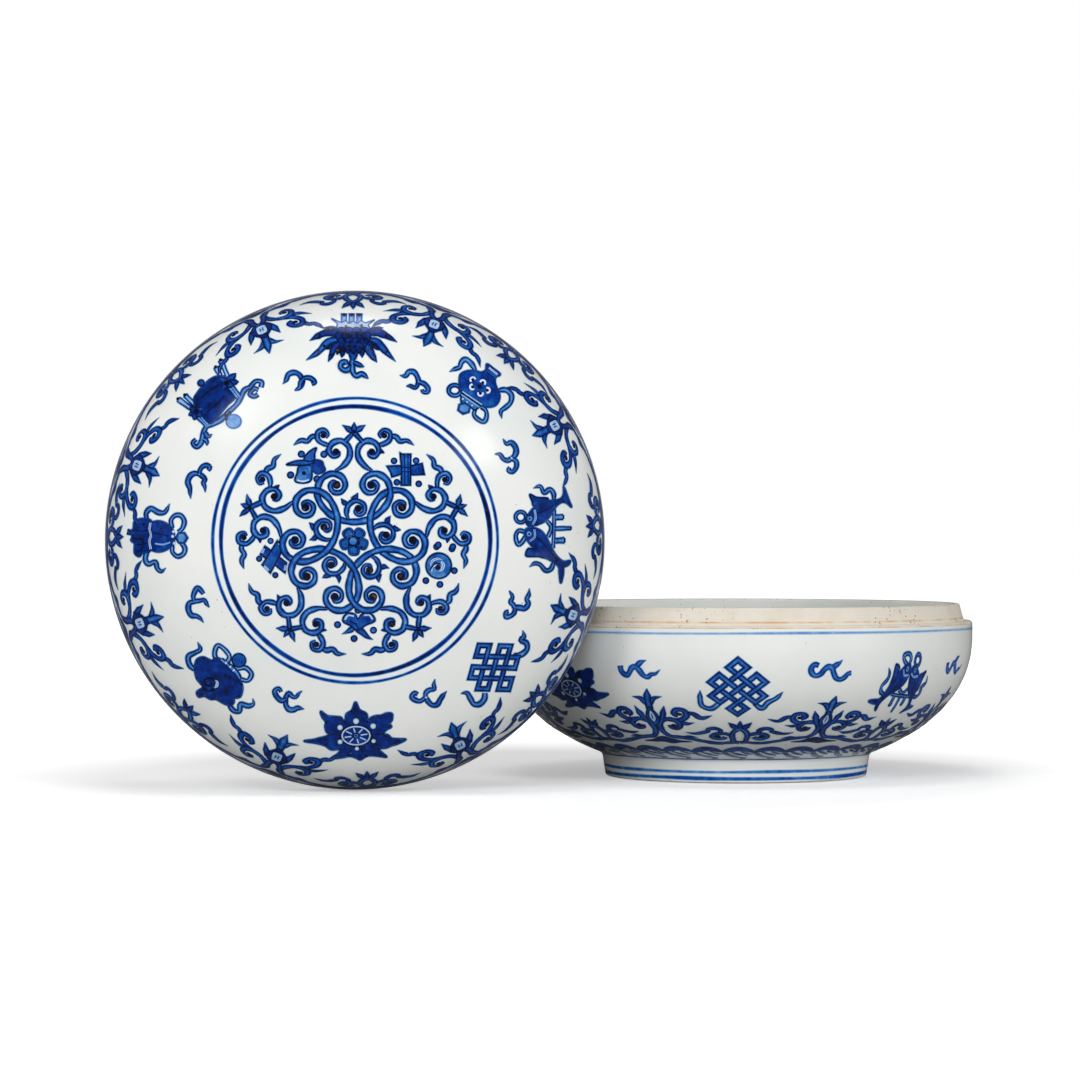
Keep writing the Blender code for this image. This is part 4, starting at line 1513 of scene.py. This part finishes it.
def paint_emblems(lid_painting, bowl_painting):
    for k, (paint, place, turn, size) in enumerate(EMBLEMS):
        lid_painting.lay(front_chart(lid_painting.skin, place))
        paint(lid_painting)
        angle = BOWL_EMBLEM_ANGLE - 45 * (k - FRONT_EMBLEM)
        if paint is paint_lid_knot:
            bowl_painting.lay(band_chart(angle, BOWL_EMBLEM_REACH, BOWL_EMBLEM_LENGTH))
            paint_bowl_knot(bowl_painting)
        else:
            bowl_painting.lay(band_chart(angle, BOWL_EMBLEM_REACH, BOWL_EMBLEM_LENGTH, size, 180 + turn))
            paint(bowl_painting)


# Clouds between the emblems. The bowl's are of two kinds: a long wave, how it thins, and a tip that rises
# out of it.
BOWL_CLOUDS = [
    (
        [
            (-9.9, 1.8), (-9.4, -1.4), (-6.9, -3.0), (-5.2, -1.3), (-4.0, 0.6), (-1.8, 1.3),
            (-0.1, -0.4), (1.6, -2.8), (3.7, -3.8), (5.8, -2.4), (7.8, -2.1), (10.6, 0.2),
        ],
        (0.9, 1, 1, 1, 1, 0.9, 0.7, 0),
        [(-1.6, 1.0), (0.0, 2.8), (1.6, 3.8), (4.0, 4.6)],
    ),
    (
        [
            (-4.6, 2.2), (-6.6, 2.7), (-8.3, 0.9), (-7.8, -1.5), (-5.6, -2.9), (-3.3, -2.0), (-1.7, 0.2),
            (0.2, 1.5), (2.2, 0.7), (3.2, -1.6), (4.8, -4.2), (7.2, -5.0), (9.4, -3.8), (10.7, -2.2),
            (12.6, -1.7),
        ],
        (0.8, 1, 1, 1, 1, 1, 0.9, 0.75),
        [(2.2, 1.0), (4.2, 2.4), (6.0, 3.6), (7.2, 5.0)],
    ),
]


# The lid's clouds: a place in millimetres, and an arch, a hook and a short tail from it
LID_CLOUDS = [
    (
        (-25.7, 74.6),
        [(0.9, 0.8), (-0.8, 3.4), (-3.3, 4.4), (-6.1, 3.3), (-7.1, 0.8), (-8.9, -1.6)],
        [(-0.4, -3.2), (0.2, -0.4), (2.3, 1.7), (5.1, 1.4), (7.2, -0.6), (5.4, -1.5)],
        [(1.2, 0.4), (0.2, -2.7), (-3.1, -4.8)],
    ),
    (
        (28.1, 74.6),
        [(1.6, 0.1), (0.9, 2.2), (-0.8, 4.7), (-3.3, 4.8), (-5.0, 2.8), (-8.1, 3.0)],
        [(1.6, -0.2), (4.4, -1.3), (6.2, -3.7), (5.8, -5.3), (3.7, -5.3), (3.2, -3.9)],
        [(1.6, -0.2), (-0.1, -3.2), (-2.6, -2.3), (-4.8, -2.5)],
    ),
    (
        (72.0, 39.7),
        [(1.6, -1.1), (2.9, 0.3), (3.6, 2.4), (3.0, 4.9), (0.9, 6.8), (-1.2, 6.1), (-3.2, 8.8)],
        [(1.6, -1.3), (3.5, -2.7), (3.6, -5.5), (1.6, -7.9), (-0.4, -7.2), (0.4, -5.6)],
        [(1.2, -1.3), (-0.8, -2.2), (-2.9, -1.5), (-4.7, 0.8), (-7.4, 0.9)],
    ),
    (
        (75.8, -30.2),
        [(-1.2, -1.4), (1.3, -1.4), (3.7, -1.8), (5.6, 0.6), (4.8, 2.9), (5.8, 5.0), (6.1, 8.4)],
        [(-1.0, -1.6), (-1.7, -4.2), (-4.0, -5.8), (-5.7, -5.9), (-5.6, -3.6), (-4.2, -3.2)],
        [(-1.4, -1.6), (-1.9, 0.0), (-3.4, 1.4), (-2.4, 4.0), (-4.2, 7.3)],
    ),
    (
        (34.7, -72.7),
        [(-1.9, -1.3), (-0.8, -2.9), (1.3, -4.8), (3.7, -4.6), (5.3, -2.0), (6.5, -0.2), (8.6, 2.3)],
        [(-2.2, -0.9), (-4.7, -2.7), (-7.1, -2.2), (-9.0, -0.6), (-7.5, 1.4), (-5.9, 0.6)],
        [(-2.2, -0.6), (-1.9, 1.5), (-0.1, 2.9), (2.3, 3.4), (2.0, 5.4), (2.6, 8.4)],
    ),
    (
        (-31.4, -73.6),
        [(-1.5, -0.9), (-1.3, -3.7), (0.2, -5.8), (2.7, -6.0), (4.4, -5.1), (8.0, -5.7)],
        [(-0.8, -0.4), (-3.3, -1.4), (-5.8, 0.5), (-6.7, 3.6), (-4.7, 4.8), (-3.6, 2.9)],
        [(-1.6, -0.4), (0.2, 2.4), (1.8, 0.8), (3.7, 0.4), (5.1, 2.2), (6.9, 3.6)],
    ),
    (
        (-73.9, -28.8),
        [(-1.5, 0.5), (-4.0, -0.6), (-4.5, -3.7), (-2.9, -6.5), (-0.5, -6.9), (1.3, -7.9), (3.2, -10.3)],
        [(-1.5, 0.5), (-2.0, 2.8), (-1.2, 5.4), (0.2, 7.2), (1.8, 6.0), (3.2, 4.1)],
        [(-1.5, 0.5), (1.3, 0.8), (3.4, 1.2), (4.8, -0.9), (6.1, -2.6)],
    ),
    (
        (-72.9, 28.8),
        [(-0.1, 2.6), (-2.6, 2.8), (-4.7, 1.4), (-5.8, -1.6), (-4.8, -4.4), (-4.6, -6.9), (-4.3, -10.0)],
        [(-0.1, 2.6), (0.3, 4.4), (1.6, 6.2), (3.7, 6.8), (5.3, 5.7), (4.2, 4.2)],
        [(0.2, 2.4), (2.0, 0.9), (2.9, -0.3), (2.0, -1.8), (2.7, -3.7), (3.0, -6.7)],
    ),
]


def paint_clouds(lid_painting, bowl_painting):
    for place, arch, hook, tail in LID_CLOUDS:
        lid_painting.lay(front_chart(lid_painting.skin, place, size=LID_CLOUD_GROW))
        lid_painting.stroke(tail, 2.2, taper=(1, 1, 0.9, 0.8, 0.1), wash=0.42)
        lid_painting.stroke(arch, 2.5, taper=(1, 1, 1, 0.95, 0.8, 0), wash=0.42)
        lid_painting.stroke(hook, 2.3, taper=(0.8, 1, 1, 1, 0.9, 0.7), wash=0.42)
    for k in range(8):
        angle = BOWL_EMBLEM_ANGLE + BOWL_CLOUD_TURN + 45 * k
        bowl_painting.lay(band_chart(angle, BOWL_EMBLEM_REACH, BOWL_CLOUD_LENGTH))
        wave, thinning, tip = BOWL_CLOUDS[k % 2]
        bowl_painting.stroke(tip, 2.4, taper=(1, 0.9, 0), line=0.8, wash=0.46)
        bowl_painting.stroke(wave, 2.5, taper=thinning, line=0.8, wash=0.46)


# The scroll round the bowl's foot and the lid's rim. Of its large florets: the curl that rises out of the
# vine, the coil beside it, the coil's tail, a leaf, the eyes of both, the pear's breadth and wash, the jewel
# in it with its bars, and the stem that ties the pear to the vine.
LID_FLORET = {
    "rise": [
        (5.6, 28.4), (3.2, 31.8), (4.0, 36.2), (7.2, 40.0), (11.6, 41.4),
        (15.2, 39.8), (15.9, 36.4), (13.6, 34.4), (11.4, 35.8), (11.8, 37.6),
    ],
    "coil": [
        (10.6, 41.4), (15.0, 43.2), (17.8, 46.6), (16.9, 50.0), (13.7, 50.4), (12.3, 47.8), (14.1, 46.4),
    ],
    "tail": [(17.0, 48.6), (19.4, 51.6), (21.4, 51.8), (23.8, 57.0)],
    "leaf": [(13.6, 40.8), (18.0, 41.0), (23.6, 44.0)],
    "eyes": [(12.8, 37.0, 1.3), (14.7, 47.6, 1.2)],
    "breadth": 1.2,
    "wash": 0.78,
    "jewel": [(-1.9, 41.4), (1.9, 41.4), (2.5, 44.6), (1.9, 47.8), (-1.9, 47.8), (-2.5, 44.6)],
    "bars": [
        ([(-0.7, 43.2), (-0.5, 46.0)], 0.6, 0.66),
        ([(0.6, 43.2), (0.8, 46.0)], 0.6, 0.66),
        ([(-0.7, 44.8), (0.8, 44.6)], 0.5, 0.60),
    ],
    "stem": [(0.4, 40.6), (2.6, 37.4), (3.4, 33.2), (6.0, 28.8)],
}
BOWL_FLORET = {
    "rise": [
        (4.6, 28.6), (1.9, 32.6), (1.7, 37.4), (3.2, 41.2), (6.8, 42.9),
        (10.4, 41.6), (11.7, 38.4), (9.9, 35.5), (7.0, 36.2), (6.6, 38.4),
    ],
    "coil": [(9.0, 42.4), (13.2, 42.6), (15.8, 45.8), (15.0, 49.2), (11.8, 49.6), (10.4, 47.0), (12.2, 45.6)],
    "tail": [(15.0, 47.2), (18.8, 47.0), (22.0, 44.0), (27.2, 45.9)],
    "leaf": [(11.4, 40.6), (14.8, 39.6), (18.8, 40.4)],
    "eyes": [(8.6, 38.0, 1.4), (12.8, 46.6, 1.2)],
    "breadth": 0.72,
    "wash": 0.62,
    "jewel": [(0, 40.6), (1.5, 43.4), (1.2, 46.6), (0, 49.2), (-1.2, 46.6), (-1.5, 43.4)],
    "bars": [([(-0.2, 43.0), (0.1, 46.8)], 0.7, 0.60)],
    "stem": [],
}

# The two scrolls: angles of the large florets (counterclockwise from the right on the lid, eastward from the
# front on the bowl), how tall each is, how far each small floret lies from midway, the length at a drawing's
# y = 0, which way y runs, and the radius in the middle of the band with its change for each y
LID_SCROLL = {
    "angles": [114, 161, 201, 250, 297, 341, 30, 70],
    "tallness": [0.874] * 8,
    "small_turns": [0, -1.9, 0, -0.7, 0, -2.0, 0, -1.4],
    "base": 157.0,
    "grow": -1,
    "reach": 107.3,
    "lean": 1.23,
    "floret": LID_FLORET,
    "crossed": True,
}
BOWL_SCROLL = {
    "angles": [-28.3, 19.0, 63.5, 107.0, 151.5, 196.5, 241.5, 286.5],
    "tallness": [0.96, 0.86, 0.92, 0.97, 0.88, 1.0, 0.93, 0.96],
    "small_turns": [0] * 8,
    "base": 0.0,
    "grow": 1,
    "reach": 95.0,
    "lean": 0.0,
    "floret": BOWL_FLORET,
    "crossed": False,
}


def scroll_chart(scroll, angle, base, grow):
    """A drawing on the scroll band, with y running by grow from the length base."""

    def chart(x, y):
        reach = scroll["reach"] - scroll["lean"] * (y - SCROLL_MIDDLE)
        return base + y * grow, math.radians(angle) + x / reach

    return chart


def paint_floret_side(painting, form, side, half):
    """One side of a large floret: vine, curl, coil and leaves, with the vine half millimetres long."""
    stretch = (half - VINE_FIXED) / (VINE_DRAWN - VINE_FIXED)
    winding = [(21.5, 23.1), (13, 22.0), (6.2, 23.9)]
    loose = [(VINE_FIXED + across * stretch, up) for across, up in winding]
    vine = [(half, VINE_LOW), *loose, (13.6, 26.6), (9.0, 27.7)]
    painting.stroke(sided(side, [(9.6, 28.2), (14.6, 28.6), (18.6, 27.2)]), 1.8, taper=(0.3, 1, 0), wash=0.6)
    painting.stroke(sided(side, form["leaf"]), 2.6, taper=(1, 0.9, 0), wash=0.55)
    painting.stroke(sided(side, form["tail"]), 2.6, taper=(0.8, 1, 0.9, 0), wash=0.56)
    painting.stroke(sided(side, form["coil"]), 2.6, wash=0.56)
    painting.stroke(sided(side, [*vine, *form["rise"]]), 2.7, taper=(1,) * 9 + (0.9, 0.6), wash=0.54)
    for across, up, size in form["eyes"]:
        painting.dot((side * across, up), size, heart=0.95)
    painting.stroke(sided(side, [(4.0, 42.2), (5.4, 47.0), (6.8, 52.0)]), 2.8, taper=(0.8, 1, 0), wash=0.55)


def paint_large_floret(painting, form, halves):
    """A jewel under a three-leaved tip, between two curls that rise out of the vine."""
    lens = [(-12, 23.2), (-6.5, 24.8), (-2.6, 27.4), (1.0, 28.0), (4.4, 26.2), (9.0, 24.2), (14.3, 23.0)]
    painting.fill([*lens, (8.6, 22.4), (3.4, 21.3), (-1.5, 22.8), (-6, 22.6)], wash=0.82)
    for side, half in zip((-1, 1), halves):
        paint_floret_side(painting, form, side, half)
    painting.stroke([(0, 52.0), (-2.6, 56.4), (-6.6, 57.5)], 2.6, taper=(0.9, 1, 0), wash=0.5)
    painting.stroke([(0, 52.0), (2.8, 56.5), (6.9, 57.8)], 2.6, taper=(0.9, 1, 0), wash=0.5)
    painting.stroke([(0, 49.6), (0.2, 54.6), (0.5, 58.6), (1.0, 62.4)], 3.0, taper=(1, 0.9, 1, 0), wash=0.45)
    if form["stem"]:
        for side in (-1, 1):
            painting.stroke(sided(side, form["stem"]), 2.7, taper=(1, 1, 1, 0.7), wash=0.62)
    pear = [
        (0, 51.6), (-1.5, 49.6), (-3.3, 46.6), (-4.0, 43.4), (-2.8, 40.3),
        (0, 38.4), (2.8, 40.3), (4.0, 43.4), (3.3, 46.6), (1.5, 49.6),
    ]
    painting.fill([(p[0] * form["breadth"], p[1]) for p in pear], wash=form["wash"], pen=0.7)
    painting.fill(form["jewel"], wash=0.16, line=0.95, pen=0.6)
    for bar, width, line in form["bars"]:
        painting.stroke(bar, width, line=line)


def paint_small_floret(painting, crossed):
    """An arch under a three-pointed crown, with a low curl and a long tail on both sides."""
    tail = [(14.6, 33.4), (18.6, 31.6), (22.0, 31.0), (26.2, 32.0)]
    hook = [(9.4, 31.4), (9.2, 34.0), (12.0, 35.6), (15.0, 34.4), (14.8, 32.4)]
    curl = [(3.2, 29.4), (7.4, 31.2), (12.0, 30.6), (13.6, 28.4), (11.4, 26.6), (8.2, 26.9), (7.0, 28.4)]
    for side in (-1, 1):
        painting.stroke(sided(side, tail), 2.1, taper=(0.9, 1, 0.8, 0), wash=0.5)
        painting.stroke(sided(side, hook), 2.2, taper=(0.9, 1, 1, 0.9, 0.6), wash=0.55)
        painting.stroke(sided(side, curl), 2.3, wash=0.5)
        painting.dot((side * 10.6, 28.5), 1.4, heart=0.95)
        painting.stroke(sided(side, [(1.0, 35.0), (3.0, 37.4), (5.3, 40.2)]), 2.6, taper=(1, 1, 0), wash=0.6)
    painting.stroke([(0, 35.4), (0, 38.4), (0, 41.4)], 2.6, taper=(1, 0.9, 0), wash=0.6)
    arch = [(-3.7, 28.6), (-3.0, 32.6), (0, 35.2), (3.0, 32.6), (3.7, 28.6)]
    leg = [(0, 25.6), (-4.6, VINE_LOW)] if crossed else [(3.3, 25.6), (3.0, 23.0)]
    painting.stroke([*reversed(sided(-1, leg)), *arch, *leg], 2.4, wash=0.50)


def paint_scroll(painting, scroll):
    """The whole band: a large floret at each of the angles, and a small one about midway to the next."""
    base, grow, angles = scroll["base"], scroll["grow"], scroll["angles"]
    low_reach = scroll["reach"] - scroll["lean"] * (VINE_LOW - SCROLL_MIDDLE)
    gaps = [math.radians((after - here) % 360) for here, after in zip(angles, angles[1:] + angles[:1])]
    for k, angle in enumerate(angles):
        tall = grow * scroll["tallness"][k]
        painting.lay(scroll_chart(scroll, angle, base + VINE_LOW * (grow - tall), tall))
        halves = (gaps[k - 1] / 2 * low_reach, gaps[k] / 2 * low_reach)
        paint_large_floret(painting, scroll["floret"], halves)
        middle = angle + math.degrees(gaps[k] / 2) + scroll["small_turns"][k]
        painting.lay(scroll_chart(scroll, middle, base, grow), painting.order)
        paint_small_floret(painting, scroll["crossed"])


def paint_petal_border(painting):
    """A narrow band of overlapping leaves just above the foot."""
    pitch = math.tau * BORDER_REACH / BORDER_LEAVES
    for k in range(BORDER_LEAVES):
        chart = band_chart(360 * k / BORDER_LEAVES, BORDER_REACH, BORDER_BASE, size=BORDER_GROW)
        painting.lay(chart, BORDER_ORDER * (k % 3))
        jog = painting.random.uniform(-0.7, 0.7)
        leaf = [
            (0.2, 9.6), (3.4, 13.4), (7.8, 14.9), (12.4 + jog, 13.6), (pitch + 1.6, 9.8), (12.0, 10.9),
            (8.0, 11.6), (4.0, 10.4),
        ]
        painting.fill(leaf, wash=0.68, pen=0.95, line=1.0)
        painting.stroke(
            [(0.4, 11.2), (3.2 + jog, 7.2), (7.2, 4.6), (11.4, 3.6)], 2.1, taper=(0.7, 1, 0.9, 0.3),
            wash=0.78,
        )
        painting.stroke([(4.6, 10.2), (8.2, 7.8 + jog), (13.0, 6.0)], 1.7, taper=(0.5, 1, 0.3), wash=0.7)
        painting.stroke([(9.4, 10.6), (12.4, 8.6), (15.6, 7.8)], 1.3, taper=(0.4, 1, 0.3), wash=0.7)
        painting.stroke([(9.0, 2.6), (12.6 + jog, 3.4)], 1.6, taper=(1, 0.6), wash=0.9)


def paint_lines(lid_lines, bowl_lines):
    """The plain rings on both pieces."""
    skin = lid_lines.skin
    for radius, *look in ROUNDEL_RINGS:
        ring_line(lid_lines, skin.length_at(radius), *look)
    for back, *look in RIM_RINGS:
        ring_line(lid_lines, skin.length[-1] - back, *look)
    for length, *look in BOWL_RINGS:
        ring_line(bowl_lines, length, *look)


def paint_all(material):
    """All the painting, a piece for each family of motifs."""
    lid_skin = Skin(lid_outside(), lid_place, lid_way)
    bowl_skin = Skin(bowl_outside(), bowl_place, bowl_way)
    bowl_skin.start_at_foot()
    lid = {name: Painting("lid_" + name, lid_skin, i) for i, name in enumerate(LID_FAMILIES)}
    bowl = {name: Painting("bowl_" + name, bowl_skin, BOWL_SEED + i) for i, name in enumerate(BOWL_FAMILIES)}
    paint_lines(lid["ring_lines"], bowl["ring_lines"])
    paint_roundel(lid["roundel"])
    paint_emblems(lid["emblems"], bowl["emblems"])
    paint_clouds(lid["clouds"], bowl["clouds"])
    paint_scroll(lid["scroll_border"], LID_SCROLL)
    paint_scroll(bowl["scroll_border"], BOWL_SCROLL)
    paint_petal_border(bowl["petal_border"])
    for painting in lid.values():
        painting.make(material, "lid")
    for painting in bowl.values():
        painting.make(material, "bowl")


# Stage, light and camera

def make_camera():
    data = bpy.data.cameras.new("camera")
    data.lens = CAMERA_LENS
    data.sensor_width = CAMERA_SENSOR
    data.clip_start, data.clip_end = CAMERA_CLIP
    camera = bpy.data.objects.new("camera", data)
    camera.location = CAMERA_PLACE
    camera.rotation_euler = (math.radians(90) - CAMERA_TILT, 0, -CAMERA_PAN)
    bpy.context.scene.collection.objects.link(camera)
    bpy.context.scene.camera = camera


def soft_light(name, place, aim, size, power, mirrored):
    """A soft box at place that faces aim and fades towards its edges."""
    data = bpy.data.lights.new(name, "AREA")
    data.shape = "RECTANGLE"
    data.size, data.size_y = size
    data.energy = power
    data.use_nodes = True
    tree = data.node_tree
    across = tree.nodes.new("ShaderNodeNewGeometry").outputs["Parametric"]
    distance = tree.nodes.new("ShaderNodeVectorMath")
    distance.operation = "DISTANCE"
    distance.inputs[1].default_value = (0.5, 0.5, 0.0)
    tree.links.new(across, distance.inputs[0])
    fade = tree.nodes.new("ShaderNodeMapRange")
    fade.interpolation_type = "SMOOTHSTEP"
    fade.inputs["From Min"].default_value = LAMP_FADE[0]
    fade.inputs["From Max"].default_value = LAMP_FADE[1]
    fade.inputs["To Min"].default_value = LAMP_HEART
    fade.inputs["To Max"].default_value = 0.0
    tree.links.new(distance.outputs["Value"], fade.inputs["Value"])
    tree.links.new(fade.outputs["Result"], tree.nodes["Emission"].inputs["Strength"])
    lamp = bpy.data.objects.new(name, data)
    lamp.location = place
    lamp.rotation_euler = (Vector(aim) - Vector(place)).to_track_quat("-Z", "Y").to_euler()
    lamp.visible_glossy = mirrored
    bpy.context.scene.collection.objects.link(lamp)


def make_world():
    """A dim plain studio, which the camera sees as white."""
    world = bpy.data.worlds.new("studio")
    world.use_nodes = True
    tree = world.node_tree
    background = tree.nodes["Background"]
    background.inputs["Color"].default_value = (1, 1, 1, 1)
    rays = tree.nodes.new("ShaderNodeLightPath").outputs
    strength = tree.nodes.new("ShaderNodeMapRange")
    strength.inputs["To Min"].default_value = WORLD_LIGHT
    strength.inputs["To Max"].default_value = 1.0
    tree.links.new(rays["Is Camera Ray"], strength.inputs["Value"])
    tree.links.new(strength.outputs["Result"], background.inputs["Strength"])
    bpy.context.scene.world = world


def make_stage():
    corners = [(-1, -1), (1, -1), (1, 1), (-1, 1)]
    places = [(x * FLOOR_REACH, y * FLOOR_REACH, -FLOOR_DROP) for x, y in corners]
    new_mesh("floor", places, [(0, 1, 2, 3)], make_floor())
    make_world()
    for lamp in LAMPS:
        soft_light(*lamp)


# The glazed and bare surfaces

def closed_behind(profile, depth):
    """A thin closed ring from an open profile: the same line again, set back into the wall."""
    back = []
    for i, p in enumerate(profile):
        along = profile[min(i + 1, len(profile) - 1)] - profile[max(i - 1, 0)]
        along.normalize()
        back.append(p + point(-along.y, along.x) * depth)
    return [*profile, *reversed(back)]


def add_piece(obj, body):
    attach(obj, body)
    return obj


def burn_near(obj, profile, marks, width):
    """Marks how burnt each vertex is: fully at the profile points in marks, and less over width metres."""
    nearness = [max(math.exp(-(((p - mark).length / width) ** 2)) for mark in marks) for p in profile]
    burn = obj.data.attributes.new("burn", "FLOAT", "POINT")
    burn.data.foreach_set("value", np.repeat(nearness, ROUND_STEPS).astype(np.float32))


def set_back(ring):
    """The line of a closed ring that lies in the wall, in the profile's own direction."""
    return reversed(ring[len(ring) // 2:])


def build_bodies(glaze, biscuit):
    """The glazed and bare surfaces of both pieces."""
    foot_ring = closed_behind(foot_bare(), BARE_DEPTH)
    flange_ring = closed_behind(flange_bare(), BARE_DEPTH)
    mouth_ring = closed_behind(lid_bare(), -BARE_DEPTH)
    bowl_glazed = [
        *foot_recess(), *set_back(foot_ring), *bowl_outside(), *set_back(flange_ring), *bowl_inside(),
    ]
    lid_glazed = [*lid_outside(), *set_back(mouth_ring), *lid_inside()]
    bowl = add_piece(turned("bowl_glazed_body", bowl_glazed, bowl_place, glaze), "bowl")
    foot = add_piece(turned("bowl_foot_edge", foot_ring, bowl_place, biscuit, closed=True), "bowl")
    flange = add_piece(
        turned("bowl_bare_flange", flange_ring, bowl_place, biscuit, closed=True), "bowl",
    )
    lid = add_piece(turned("lid_glazed_body", lid_glazed, lid_place, glaze), "lid")
    mouth = add_piece(turned("lid_mouth_edge", mouth_ring, lid_place, biscuit, closed=True), "lid")
    burn_near(flange, flange_ring, [flange_bare()[0], NOOK.lerp(OUTER_LIP, NOOK_BURN_AT)], FLANGE_BURN)
    burn_near(foot, foot_ring, [foot_bare()[0], foot_bare()[-1]], FOOT_BURN)
    burn_near(mouth, mouth_ring, [lid_bare()[0], lid_bare()[-1]], MOUTH_BURN)
    for obj in (bowl, foot, flange, lid, mouth):
        obj.data.set_sharp_from_angle(angle=math.radians(SHARP_ANGLE))
    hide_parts("footed_bowl")
    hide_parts("domed_lid")


# Build

make_camera()
make_stage()
bpy.context.scene.view_settings.view_transform = "Standard"
build_bodies(make_glaze(), make_biscuit())
paint_all(make_cobalt())
